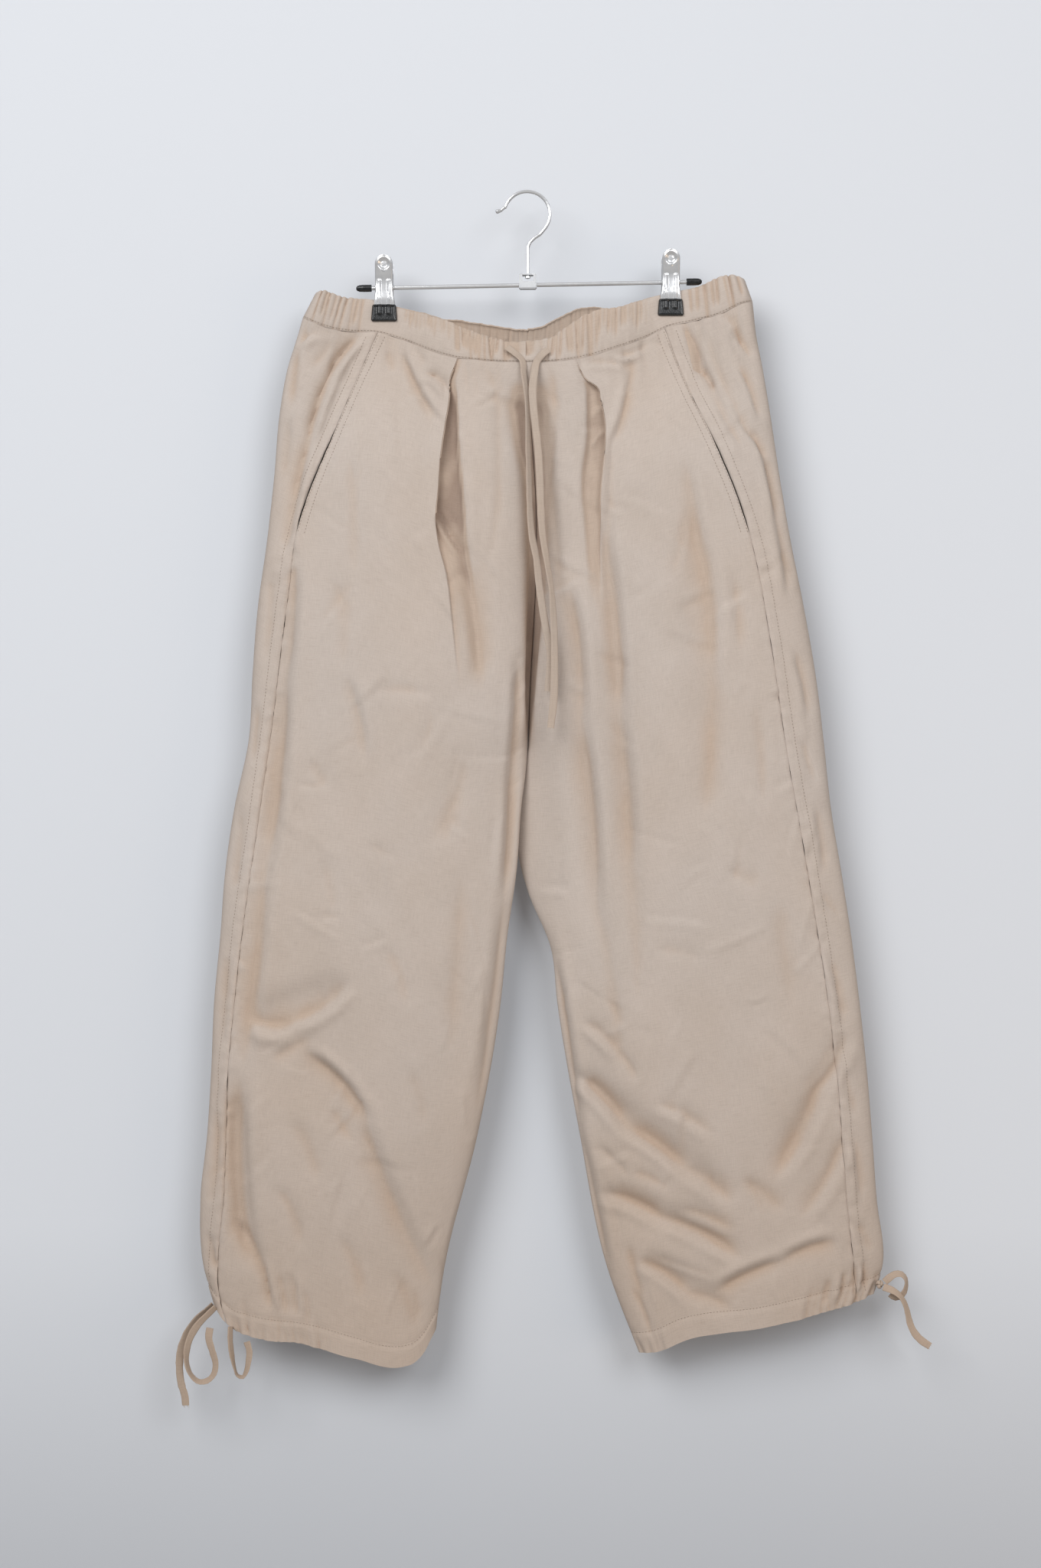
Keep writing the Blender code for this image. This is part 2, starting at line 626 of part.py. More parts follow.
def finish_object(name, bm, finish, sharp_degrees=50.0):
    bmesh.ops.recalc_face_normals(bm, faces=bm.faces)
    if bm.calc_volume(signed=True) < 0:
        bmesh.ops.reverse_faces(bm, faces=bm.faces)
    mesh = bpy.data.meshes.new(name)
    bm.to_mesh(mesh)
    bm.free()
    mesh.materials.append(finish)
    mesh.shade_smooth()
    mesh.set_sharp_from_angle(angle=math.radians(sharp_degrees))
    obj = bpy.data.objects.new(name, mesh)
    bpy.context.scene.collection.objects.link(obj)
    return obj


def wall_object(name, outside, inside, finish):
    """A closed wall between two grids of points of the same size."""
    rows, columns = outside.shape[:2]
    bm = bmesh.new()
    outer = [[bm.verts.new(outside[r, c]) for c in range(columns)] for r in range(rows)]
    inner = [[bm.verts.new(inside[r, c]) for c in range(columns)] for r in range(rows)]
    for r in range(rows - 1):
        for c in range(columns - 1):
            bm.faces.new((outer[r][c], outer[r][c + 1], outer[r + 1][c + 1], outer[r + 1][c]))
            bm.faces.new((inner[r][c], inner[r + 1][c], inner[r + 1][c + 1], inner[r][c + 1]))
    for r in range(rows - 1):
        for c in (0, columns - 1):
            bm.faces.new((outer[r][c], outer[r + 1][c], inner[r + 1][c], inner[r][c]))
    for c in range(columns - 1):
        for r in (0, rows - 1):
            bm.faces.new((outer[r][c], outer[r][c + 1], inner[r][c + 1], inner[r][c]))
    return finish_object(name, bm, finish)


def open_side_seam(grid, column, neighbour):
    """Draws the column at the side seam back by half the seam's gap, which widens at the pocket."""
    height = grid[:, column, 2]
    pocket = smooth(POCKET_TOP + POCKET_FADE / 3, POCKET_TOP - POCKET_FADE * 2 / 3, height)
    pocket *= smooth(POCKET_BOTTOM, POCKET_BOTTOM + POCKET_FADE, height)
    along = grid[:, neighbour] - grid[:, column]
    along[:, 2] = 0.0
    along /= np.linalg.norm(along, axis=1)[:, None]
    grid[:, column] += along * (SIDE_HALF_GAP + POCKET_GAP / 2 * pocket)[:, None]


def front_turns(seam_turn):
    return -1.0 + (seam_turn + 1.0) * np.linspace(0.0, 1.0, FRONT_COLUMNS + 1)


def back_turns(seam_turn):
    """The strip that wraps forward, from the side seam to the outer edge, and then the back."""
    strip = seam_turn * np.linspace(1.0, 0.0, STRIP_COLUMNS + 1) ** STRIP_SPACING
    return np.concatenate([strip, np.linspace(0.0, 1.0, BACK_COLUMNS + 1)[1:]])


def panel(name, side, turns, finish):
    """turns gives, for each row, the turn of each column."""
    down = np.repeat(rows_down(side)[:, None], turns.shape[1], axis=1)
    x, y, z = point_on(side, turns, down)
    nx, ny = inward(side, turns, down)
    below = down[:, 0] > side.crotch - 1e-9
    # The two ends of a closed leg share one direction, so their walls meet in a mitre.
    fx, fy = inward(side, np.full(len(down), -1.0), down[:, 0])
    bx, by = inward(side, np.full(len(down), 1.0), down[:, 0])
    length = np.hypot(fx + bx, fy + by)
    end = 0 if abs(turns[0, 0]) > 0.99 else -1
    nx[below, end] = ((fx + bx) / length)[below]
    ny[below, end] = ((fy + by) / length)[below]
    above_hem = z - curve_of(side.hem, 1, share_of(side, turns, down))
    hem = smooth(HEM_CHANNEL + HEM_ROUNDING, HEM_CHANNEL - HEM_ROUNDING, above_hem)
    out = HEM_EXTRA * hem * (np.abs(turns) < 0.99)
    outside = np.stack([x - nx * out, y - ny * out, z], axis=-1)
    inside = np.stack([x + nx * PANEL_WALL, y + ny * PANEL_WALL, z], axis=-1)
    for grid in (outside, inside):
        if end == 0:
            open_side_seam(grid, -1, -2)
        else:
            open_side_seam(grid, 0, 1)
    outside[0, :, 2] -= WAIST_GAP / 2
    inside[0, :, 2] -= WAIST_GAP / 2
    return wall_object(name, outside, inside, finish)


def make_panels(finish):
    for side in SIDES:
        seam_turns = side_seam_turn(side, rows_down(side))
        panel(f"front_{side.name}", side, np.array([front_turns(turn) for turn in seam_turns]), finish)
        panel(f"back_{side.name}", side, np.array([back_turns(turn) for turn in seam_turns]), finish)


def band_points(side, turn, up):
    """Outer surface of the waistband. up is 0 at the waist seam and 1 at the top edge."""
    top_row = np.zeros_like(turn)
    place = share_of(side, turn, top_row) * side.waist_reach
    front = turn < 0
    # The band's lower edge follows the straight runs of the panels' upper edges.
    seam_turn = side_seam_turn(side, np.zeros(1))[0]
    knots = np.concatenate([front_turns(seam_turn), back_turns(seam_turn)[1:]])
    corners = point_on(side, knots, np.zeros_like(knots))
    x, y, z = (np.interp(turn, knots, values) for values in corners)
    # Both halves of the band meet on one centre line.
    x = x - side.sign * CENTRE_HALF_GAP * smooth(SEAM_TURN, 1.0, np.abs(turn))
    top = curve_of(side.band_top, 1, place)
    top = top + np.where(front, 0.0, curve_of(BACK_BAND_RISE, 1, place))
    lean = 1.0 + (BAND_SIDE_LEAN[side.name] - 1.0) * (1.0 - place) ** 2 * up
    x = x * lean
    z = z + WAIST_GAP / 2 + (top - z) * up
    narrow = CLIP_GRIP_WIDTH * (1.0 - CLIP_GRIP_FADE)
    wide = CLIP_GRIP_WIDTH * (1.0 + CLIP_GRIP_FADE)
    free = smooth(narrow, wide, np.abs(place - CLIP_PLACE))
    gather = np.cos(2 * math.pi * GATHERS_PER_SIDE * np.abs(turn))
    depth = GATHER_DEPTH * free * smooth(*GATHER_START_TURNS, np.abs(turn))
    depth *= GATHER_LOWER_SHARE + (1.0 - GATHER_LOWER_SHARE) * up
    y = y * (1.0 - BAND_NARROWING * up * free) + np.where(front, 1.0, -1.0) * depth * gather
    z = z - GATHER_HEIGHT * gather * up * free
    return np.stack([x, y, z], axis=-1)


def make_band(name, front, finish):
    """The front or the back of the waistband, from the right side round to the left."""
    way = -1.0 if front else 1.0
    half = np.linspace(0.0, 1.0, BAND_COLUMNS + 1)
    ups = np.linspace(0.0, 1.0, BAND_ROWS + 1)
    rows_out = []
    rows_in = []
    for up in ups:
        right = band_points(SIDES[0], way * half, up)
        left = band_points(SIDES[1], way * half[::-1], up)
        row = np.concatenate([right, left[1:]])
        tangent = np.gradient(row[:, :2], axis=0)
        tangent[0] = (0.0, -1.0 if front else 1.0)
        tangent[-1] = (0.0, 1.0 if front else -1.0)
        tangent /= np.linalg.norm(tangent, axis=1)[:, None]
        turned = 1.0 if front else -1.0
        normal = np.stack([-tangent[:, 1], tangent[:, 0]], axis=-1) * turned
        inner = row.copy()
        inner[:, :2] += normal * BAND_WALL
        rows_out.append(row)
        rows_in.append(inner)
    outside = np.array(rows_out)
    inside = np.array(rows_in)
    # The two bands meet at the sides with a gap.
    for grid in (outside, inside):
        grid[:, (0, -1), 1] += way * SIDE_HALF_GAP
    return wall_object(name, outside, inside, finish)


def smooth_route(points, spacing):
    """Points at an even spacing along a smooth curve through a short list."""
    route = np.array(points, float)
    lengths = np.concatenate([[0.0], np.cumsum(np.linalg.norm(np.diff(route, axis=0), axis=1))])
    count = max(int(round(lengths[-1] / spacing)), 4)
    at = np.linspace(0.0, lengths[-1], count + 1)
    rows = np.column_stack([lengths, route])
    return np.column_stack([curve_of(rows, axis, at) for axis in (1, 2, 3)])


def tube(name, points, diameter, finish, resolution=2, radii=None):
    """A round tube with filled ends along a poly curve."""
    curve = bpy.data.curves.new(name, "CURVE")
    curve.dimensions = "3D"
    curve.bevel_depth = diameter / 2
    curve.bevel_resolution = resolution
    curve.use_fill_caps = True
    spline = curve.splines.new("POLY")
    spline.points.add(len(points) - 1)
    for index, point in enumerate(points):
        spline.points[index].co = (*point, 1.0)
        spline.points[index].radius = 1.0 if radii is None else radii[index]
    spline.use_smooth = True
    curve.materials.append(finish)
    obj = bpy.data.objects.new(name, curve)
    bpy.context.scene.collection.objects.link(obj)
    return obj


def make_tapes(finish):
    routes = {
        "drawstring_right": DRAWSTRING_RIGHT,
        "drawstring_left": DRAWSTRING_LEFT,
        "hem_tie_right_tail": HEM_TIE_RIGHT_TAIL,
        "hem_tie_right_loop": HEM_TIE_RIGHT_LOOP,
        "hem_tie_right_short_loop": HEM_TIE_RIGHT_SHORT_LOOP,
        "hem_tie_left_loop": HEM_TIE_LEFT_LOOP,
        "hem_tie_left_tail": HEM_TIE_LEFT_TAIL,
    }
    for name, route in routes.items():
        tube(name, smooth_route(route, TAPE_SPACING), TAPE_DIAMETER, finish)
    bm = bmesh.new()
    bmesh.ops.create_icosphere(bm, subdivisions=2, radius=1.0)
    bmesh.ops.scale(bm, vec=HEM_TIE_LEFT_KNOT_SIZE, verts=bm.verts)
    bmesh.ops.translate(bm, vec=HEM_TIE_LEFT_KNOT_CENTRE, verts=bm.verts)
    finish_object("hem_tie_left_knot", bm, finish)


def make_hook(finish):
    """A round hook whose wire runs down into the bracket, with a ball at its open end."""
    centre = Vector((0.0, 0.0, -HOOK_INSIDE_RADIUS))
    radius = HOOK_INSIDE_RADIUS + HOOK_WIRE / 2
    wire = [Vector((x, 0.0, z)) for x, z in HOOK_TIP]
    start, stop = HOOK_ARC
    for index in range(HOOK_ARC_STEPS + 1):
        angle = start + (stop - start) * index / HOOK_ARC_STEPS
        wire.append(centre + radius * Vector((math.cos(angle), 0.0, math.sin(angle))))
    wire += [Vector((x, 0.0, z)) for x, z in HOOK_SHANK]
    tip = wire.pop(0)
    back = (wire[0] - tip).normalized() * HOOK_BALL / 2
    ball_points = [tip + back * along for along, _ in HOOK_BALL_PROFILE]
    ball_radii = [HOOK_BALL / HOOK_WIRE * wide for _, wide in HOOK_BALL_PROFILE]
    head_points = [Vector((HOOK_FOOT[0], 0.0, HOOK_FOOT[1] - drop)) for drop, _ in HOOK_HEAD_PROFILE]
    head_radii = [wide for _, wide in HOOK_HEAD_PROFILE]
    points = ball_points + wire + head_points
    radii = ball_radii + [1.0] * len(wire) + head_radii
    tube("hook", [tuple(point) for point in points], HOOK_WIRE, finish, resolution=3, radii=radii)


def box_mesh(size, centre):
    bm = bmesh.new()
    bmesh.ops.create_cube(bm, size=1.0)
    bmesh.ops.scale(bm, vec=size, verts=bm.verts)
    bmesh.ops.translate(bm, vec=centre, verts=bm.verts)
    return bm


def cylinder_mesh(radius, length, axis, centre, segments=20):
    """A cylinder along the given axis, 0 for X, 1 for Y and 2 for Z."""
    bm = bmesh.new()
    bmesh.ops.create_cone(
        bm, cap_ends=True, segments=segments, radius1=radius, radius2=radius, depth=length
    )
    turn = {0: Matrix.Rotation(math.pi / 2, 4, "Y"), 1: Matrix.Rotation(math.pi / 2, 4, "X"), 2: Matrix()}
    bmesh.ops.transform(bm, matrix=turn[axis], verts=bm.verts)
    bmesh.ops.translate(bm, vec=centre, verts=bm.verts)
    return bm


def helper_object(name, bm):
    """A guide for a Boolean, which isn't part of the model."""
    obj = finish_object(name, bm, bpy.data.materials["chrome"])
    obj.hide_render = True
    obj.display_type = "WIRE"
    return obj


def combine(obj, other, operation):
    modifier = obj.modifiers.new(f"{operation.lower()}_{other.name}", "BOOLEAN")
    modifier.operation = operation
    modifier.object = other


def on_bar(along):
    """A point of the bar's axis, at this distance from the bar's middle."""
    return BAR_CENTRE + Matrix.Rotation(-BAR_TILT, 3, "Y") @ Vector((along, 0.0, 0.0))


def tilt_with_bar(obj, along=0.0):
    obj.location = on_bar(along)
    obj.rotation_euler = (0.0, -BAR_TILT, 0.0)
    return obj


def make_bar(chrome, rubber):
    bar = finish_object("bar", cylinder_mesh(BAR_DIAMETER / 2, BAR_LENGTH, 0, Vector((0, 0, 0))), chrome)
    tilt_with_bar(bar)
    for name, way in (("bar_tip_right", -1), ("bar_tip_left", 1)):
        inner_end = BAR_LENGTH / 2 - TIP_BORE_DEPTH + BAR_CLEARANCE
        bm = bmesh.new()
        rings = []
        for along, wide in TIP_PROFILE:
            ring = []
            for index in range(TIP_SEGMENTS):
                angle = 2 * math.pi * index / TIP_SEGMENTS
                radius = TIP_DIAMETER / 2 * wide
                x = way * (inner_end + along * TIP_LENGTH)
                ring.append(bm.verts.new((x, radius * math.cos(angle), radius * math.sin(angle))))
            rings.append(ring)
        for ring, following in zip(rings, rings[1:]):
            for index in range(TIP_SEGMENTS):
                after = (index + 1) % TIP_SEGMENTS
                bm.faces.new((ring[index], ring[after], following[after], following[index]))
        bm.faces.new(rings[0])
        bm.faces.new(rings[-1])
        tip = tilt_with_bar(finish_object(name, bm, rubber))
        bore_radius = BAR_DIAMETER / 2 + BAR_CLEARANCE
        bore_middle = way * (inner_end + TIP_BORE_DEPTH / 2 - 0.001)
        bore = cylinder_mesh(bore_radius, TIP_BORE_DEPTH + 0.002, 0, Vector((bore_middle, 0, 0)))
        cutter = tilt_with_bar(helper_object(f"{name}_bore", bore))
        combine(tip, cutter, "DIFFERENCE")


def make_bracket(finish):
    """A folded metal frame that hangs the bar from the hook's head."""
    bottom = -BAR_DIAMETER / 2 - BAR_CLEARANCE - BRACKET_WALL
    middle = Vector((0.0, 0.0, bottom + BRACKET_SIZE.z / 2))
    bm = box_mesh(BRACKET_SIZE, middle)
    bmesh.ops.bevel(bm, geom=bm.edges[:], offset=BRACKET_ROUNDING, segments=2, affect="EDGES")
    bracket = finish_object("hook_bracket", bm, finish)
    bracket.location = on_bar(BRACKET_PLACE)
    window_top = bottom + BRACKET_SIZE.z - BRACKET_WALL
    window_middle = Vector((0.0, 0.0, window_top - BRACKET_WINDOW.z / 2))
    window = helper_object("bracket_window", box_mesh(BRACKET_WINDOW, window_middle))
    window.location = bracket.location
    hole_middle = Vector((0.0, 0.0, window_top))
    hole = cylinder_mesh(HOOK_WIRE / 2 + BAR_CLEARANCE, 0.006, 2, hole_middle)
    hook_hole = helper_object("bracket_hook_hole", hole)
    hook_hole.location = bracket.location
    through = cylinder_mesh(BAR_DIAMETER / 2 + BAR_CLEARANCE, BRACKET_SIZE.x * 2, 0, Vector((0, 0, 0)))
    bar_hole = tilt_with_bar(helper_object("bracket_bar_hole", through), BRACKET_PLACE)
    for cutter in (window, hook_hole, bar_hole):
        combine(bracket, cutter, "DIFFERENCE")


def plate_mesh(face):
    """A pressed clip plate: rounded top, straight sides that flare at the foot, and a shallow S in depth."""
    way = -1.0 if face == "front" else 1.0
    foot_depth = GRIPPED_DEPTH + SEAM_GAP + CLIP_FOOT_OVER_JAW
    profile = (
        (CLIP_TOP, 0.0108, 0.55),
        (CLIP_TOP - 0.0018, 0.0104, 0.86),
        (CLIP_TOP - 0.0045, 0.0098, 1.0),
        (0.0160, 0.0080, 1.0),
        (0.0060, 0.0054, 1.0),
        (-0.0040, 0.0046, 1.0),
        (-0.0110, 0.0044, 1.0),
        (CLIP_PLATE_BOTTOM + SEAM_GAP, foot_depth, CLIP_JAW_END_WIDTH / CLIP_WIDTH),
    )
    bm = bmesh.new()
    front_verts = []
    back_verts = []
    for height, depth, wide in profile:
        near = []
        far = []
        for column in range(CLIP_COLUMNS + 1):
            share = 2.0 * column / CLIP_COLUMNS - 1.0
            x = share * wide * CLIP_WIDTH / 2
            crown = CLIP_CROWN * (1.0 - share * share)
            y = way * (depth + crown - CLIP_CROWN_BASE)
            near.append(bm.verts.new((x, y + way * CLIP_SHEET, height)))
            far.append(bm.verts.new((x, y, height)))
        front_verts.append(near)
        back_verts.append(far)
    rows = len(profile)
    for r in range(rows - 1):
        for c in range(CLIP_COLUMNS):
            near = (front_verts[r][c], front_verts[r][c + 1], front_verts[r + 1][c + 1], front_verts[r + 1][c])
            far = (back_verts[r][c], back_verts[r + 1][c], back_verts[r + 1][c + 1], back_verts[r][c + 1])
            bm.faces.new(near)
            bm.faces.new(far)
        for c in (0, CLIP_COLUMNS):
            bm.faces.new((front_verts[r][c], front_verts[r + 1][c], back_verts[r + 1][c], back_verts[r][c]))
    for c in range(CLIP_COLUMNS):
        for r in (0, rows - 1):
            bm.faces.new((front_verts[r][c], front_verts[r][c + 1], back_verts[r][c + 1], back_verts[r][c]))
    ears = []
    for edge in (-1, 1):
        x = edge * (CLIP_WIDTH / 2 - CLIP_SHEET / 2 - CLIP_EAR_INSETS[face])
        ears.append(box_mesh(CLIP_EAR_SIZE, Vector((x, way * CLIP_EAR_DEPTH, 0.0))))
    return bm, ears


def make_clip(name, along, chrome, rubber):
    """A spring clip on the bar: two plates with ears that the bar passes through, a spring and coated jaws."""
    bore = cylinder_mesh(BAR_DIAMETER / 2 + BAR_CLEARANCE, 0.030, 0, Vector((0, 0, 0)))
    bar_cutter = tilt_with_bar(helper_object(f"clip_{name}_bar_bore", bore), along)
    for face, way in (("front", -1.0), ("back", 1.0)):
        bm, ears = plate_mesh(face)
        plate = finish_object(f"clip_{name}_{face}", bm, chrome, sharp_degrees=40.0)
        plate.location = on_bar(along)
        for index, ear in enumerate(ears):
            helper = helper_object(f"clip_{name}_{face}_ear_{index}", ear)
            helper.location = plate.location
            combine(plate, helper, "UNION")
        hole_middle = Vector((0, way * CLIP_HOLE_DEPTH, CLIP_HOLE_HEIGHT))
        hole = cylinder_mesh(CLIP_HOLE_RADIUS, 0.02, 1, hole_middle, 16)
        hole_cutter = helper_object(f"clip_{name}_{face}_hole", hole)
        hole_cutter.location = plate.location
        if face == "front":
            for rib_side, rib_way in (("right", -1), ("left", 1)):
                rib_middle = Vector((rib_way * CLIP_RIB_OFFSET, way * CLIP_RIB_DEPTH, CLIP_RIB_HEIGHT))
                rib = helper_object(f"clip_{name}_rib_{rib_side}", box_mesh(CLIP_RIB_SIZE, rib_middle))
                rib.location = plate.location
                combine(plate, rib, "UNION")
        combine(plate, hole_cutter, "DIFFERENCE")
        combine(plate, bar_cutter, "DIFFERENCE")
        jaw_y = way * (GRIPPED_DEPTH + SEAM_GAP + JAW_DEPTH / 2)
        jaw_middle = Vector((0.0, jaw_y, CLIP_PLATE_BOTTOM - JAW_HEIGHT / 2))
        jaw_bm = box_mesh(Vector((JAW_WIDTH, JAW_DEPTH, JAW_HEIGHT)), jaw_middle)
        bmesh.ops.bevel(jaw_bm, geom=jaw_bm.edges[:], offset=JAW_ROUNDING, segments=2, affect="EDGES")
        jaw = finish_object(f"clip_{name}_jaw_{face}", jaw_bm, rubber)
        jaw.location = on_bar(along)
    spring_mesh = cylinder_mesh(CLIP_SPRING_RADIUS, CLIP_SPRING_LENGTH, 0, Vector((0, 0, 0)))
    spring = finish_object(f"clip_{name}_spring", spring_mesh, chrome)
    tilt_with_bar(spring, along)
    combine(spring, bar_cutter, "DIFFERENCE")


def main():
    clear_scene()
    cloth = make_finish("cloth")
    chrome = make_finish("chrome")
    rubber = make_finish("rubber")
    make_panels(cloth)
    make_band("waistband_front", True, cloth)
    make_band("waistband_back", False, cloth)
    make_tapes(cloth)
    make_hook(chrome)
    make_bracket(chrome)
    make_bar(chrome, rubber)
    for name, along in CLIP_PLACES.items():
        make_clip(name, along, chrome, rubber)


main()
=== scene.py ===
"""The looks of drawstring trousers on a clip hanger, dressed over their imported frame.

Metres throughout, in the frame's own axes: X runs to the wearer's left, Y into the wall behind and Z up, from the
inside top of the hook. Right and left are the wearer's.
"""

import math

import bmesh
import bpy
import numpy as np
from mathutils import Matrix, Vector


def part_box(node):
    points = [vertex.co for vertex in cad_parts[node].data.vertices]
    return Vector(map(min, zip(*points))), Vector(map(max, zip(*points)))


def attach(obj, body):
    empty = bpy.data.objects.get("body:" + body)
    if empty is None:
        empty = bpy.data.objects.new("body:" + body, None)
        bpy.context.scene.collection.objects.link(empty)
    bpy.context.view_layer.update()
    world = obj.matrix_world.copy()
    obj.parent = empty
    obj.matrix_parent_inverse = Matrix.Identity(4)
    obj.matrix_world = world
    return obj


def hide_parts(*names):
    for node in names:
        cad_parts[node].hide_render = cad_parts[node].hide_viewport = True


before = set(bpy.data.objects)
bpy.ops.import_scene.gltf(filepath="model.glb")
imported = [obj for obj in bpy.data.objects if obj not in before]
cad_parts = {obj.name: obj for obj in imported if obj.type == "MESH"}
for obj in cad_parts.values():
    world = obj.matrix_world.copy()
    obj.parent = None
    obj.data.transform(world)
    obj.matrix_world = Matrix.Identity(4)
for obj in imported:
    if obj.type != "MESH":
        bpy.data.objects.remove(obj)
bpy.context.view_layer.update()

# Camera and stage
CAMERA_DISTANCE = 2.2
VIEW_CENTRE = Vector((-0.0060, 0.0, -0.5404))
VIEW_HEIGHT = 1.434
SENSOR = 36.0
WALL_Y = 0.046
FLOOR_Z = -1.46

# Walls, gaps and the form of the cloth, as in the solids
PANEL_WALL = 0.0010
BAND_WALL = 0.0016
SEAM_GAP = 0.00012
WAIST_GAP = 0.0002
POCKET_GAP = 0.0014
POCKET_TOP = -0.212
POCKET_BOTTOM = -0.315
CROTCH_HEIGHT = -0.506
EDGE_POWER = 0.8
INNER_EDGE_POWER = 0.42
BAND_BLEND = 0.14
BACK_SEAM_LIFT = 0.008
SEAT_LIFT_ENDS = 0.35
SEAT_TURN_IN = 0.12
LOBE_TURN = 0.80
BAND_EDGE_PLACE = 0.07
CLIP_PLACE = 0.375
CLIP_GRIP_WIDTH = 0.10
GRIPPED_DEPTH = 0.0022

# Mesh of the cloth
CLOTH_ROWS = 340
FRONT_GRID_COLUMNS = 104
BACK_GRID_COLUMNS = 116
BACK_ROWS = 280
BAND_GRID_COLUMNS = 330
BAND_GRID_ROWS = 22
HEM_CHANNEL = 0.019

# Hanger
BAR_CENTRE = Vector((0.0018, 0.0, -0.0842))
BAR_TILT = math.radians(1.13)
CLIP_PLACES = {"right": -0.1324, "left": 0.1295}
CLIP_WIDTH = 0.0163
CLIP_FOOT_WIDTH = 0.0192
CLIP_TOP = 0.0282
CLIP_FOOT = -0.0160
CLIP_SHEET = 0.0010
DISH_HEIGHT = 0.0203
DISH_RADIUS = 0.0055
DISH_DEPTH = 0.0016
DISH_HOLE = 0.0026
RIB_OFFSET = 0.0042
RIB_WIDTH = 0.0013
RIB_TOP = 0.0052
RIB_HEIGHT = 0.0009
JAW_TOP_WIDTH = 0.0215
JAW_FOOT_WIDTH = 0.0242
JAW_HEIGHT = 0.0156
JAW_DEPTH = 0.0030

# Tapes
TAPE_WIDTH = 0.0068
TAPE_THICKNESS = 0.0013
TAPE_STEP = 0.0030
TAPE_REACH = 0.0032
TAPE_CLEARANCE = 0.0012

# Section of a tape, a flat tube pressed down, in halves of its width and thickness
TAPE_OUTLINE = (
    (-1.00, 0.00),
    (-0.90, 0.75),
    (-0.62, 1.00),
    (-0.20, 0.88),
    (0.20, 0.86),
    (0.62, 0.94),
    (0.90, 0.70),
    (1.00, 0.00),
    (0.90, -0.70),
    (0.62, -0.94),
    (0.20, -0.86),
    (-0.20, -0.88),
    (-0.62, -1.00),
    (-0.90, -0.75),
)
DRAWSTRING_RIGHT_START = ((-0.0180, -0.0175, -0.1440), (-0.0120, -0.0200, -0.1490))
DRAWSTRING_LEFT_START = ((0.0190, -0.0178, -0.1465), (0.0135, -0.0198, -0.1510))
FREE_ENDS = ("drawstring_right", "drawstring_left", "hem_tie_right_tail", "hem_tie_left_tail")

# Clip's plates and jaws
PLATE_PROFILE = (
    (0.0282, 0.0108),
    (0.0237, 0.0098),
    (0.0160, 0.0080),
    (0.0060, 0.0054),
    (-0.0040, 0.0046),
    (-0.0110, 0.0044),
    (-0.0160, 0.0037),
)
SLOT_HEIGHT = 0.0136
SLOT_HALF_WIDTH = 0.0030
SLOT_SAG = 0.0017
SLOT_THICKNESS = 0.0011
JAW_CORNER = 0.0022
JAW_RIB_END = -0.0235
EAR_RADIUS = 0.0052

# Pleats, puckers, gathers and stitches
PLEAT_UNDER_SCALE = 1.6
PLEAT_COLUMN_SHARE = 0.47
PLEAT_LIP = 0.0022
PLEAT_ROUNDING = 0.0050
PLEAT_LIFT = 0.0014
SCATTERED = 230
CREASE_SCALE = 1.9
CREASE_SLIMNESS = 0.82
FINE_SCALE = 2.1
CREASE_STEEP = 1.5
CREASE_GENTLE = 0.72
SEAM_HOLD = 0.0060
PLEAT_SHADE = {"right": 1.5, "left": 0.5}
VALLEY_SHADE = 1.7
VALLEY_WIDENING = 0.0055
VALLEY_PLACE = 0.013
VALLEY_SPREAD = 0.009
DRAWSTRING_TWIST = 0.85
STITCH_SPACING = 0.0030
STITCH_LENGTH = 0.0022
STITCH_RADIUS = 0.00030
HEM_GATHERS = {
    "right": ((0.05, 0.52, 13, 0.0034, 0.035),),
    "left": ((0.00, 0.28, 9, 0.0036, 0.035), (0.86, 1.00, 4, 0.0028, 0.025)),
}

# Light and colours, in linear light
LIGHTS = (
    ("key", (-1.60, -3.10, 1.25), (0.0, 0.0, -0.35), 2.4, 78.0, (1.0, 0.995, 0.985)),
    ("front", (1.30, -3.20, 0.90), (0.1, 0.0, -0.30), 1.8, 36.0, (0.97, 0.985, 1.0)),
    ("bounce", (2.00, -1.30, -1.20), (0.1, 0.0, -0.60), 1.4, 7.0, (1.0, 0.74, 0.50)),
)
WORLD_STOPS = ((0.0, (0.42, 0.36, 0.31)), (0.45, (0.62, 0.62, 0.63)), (0.60, (0.92, 0.95, 1.0)), (1.0, (1.0, 1.0, 1.0)))
WORLD_STRENGTH = 0.36
CLOTH_FACE = (0.585, 0.512, 0.462)
CLOTH_WARM = (0.580, 0.494, 0.432)
# Painted shade: warm, darker multipliers for cloth lying deep in a fold, a pleat or the centre valley, standing in for
# shade and for light bounced inside the folds
CLOTH_FOLD_SHADE = (0.94, 0.87, 0.80)
CLOTH_DEEP_SHADE = (0.63, 0.55, 0.50)
# Painted shade: a warmer, darker multiplier for the cloth towards the hems, between the heights LOW_FROM and LOW_TO
CLOTH_LOW_SHADE = (0.925, 0.88, 0.835)
LOW_FROM = -0.66
LOW_TO = -1.02
TAPE_FACE = (0.540, 0.455, 0.390)
TAPE_WARM = (0.515, 0.425, 0.355)
WALL_TOP = (0.760, 0.785, 0.830)
# Painted shade: the wall's paint turns darker towards the floor
WALL_BOTTOM_SHADE = (0.480, 0.495, 0.525)
FLOOR_COLOUR = (0.36, 0.35, 0.34)

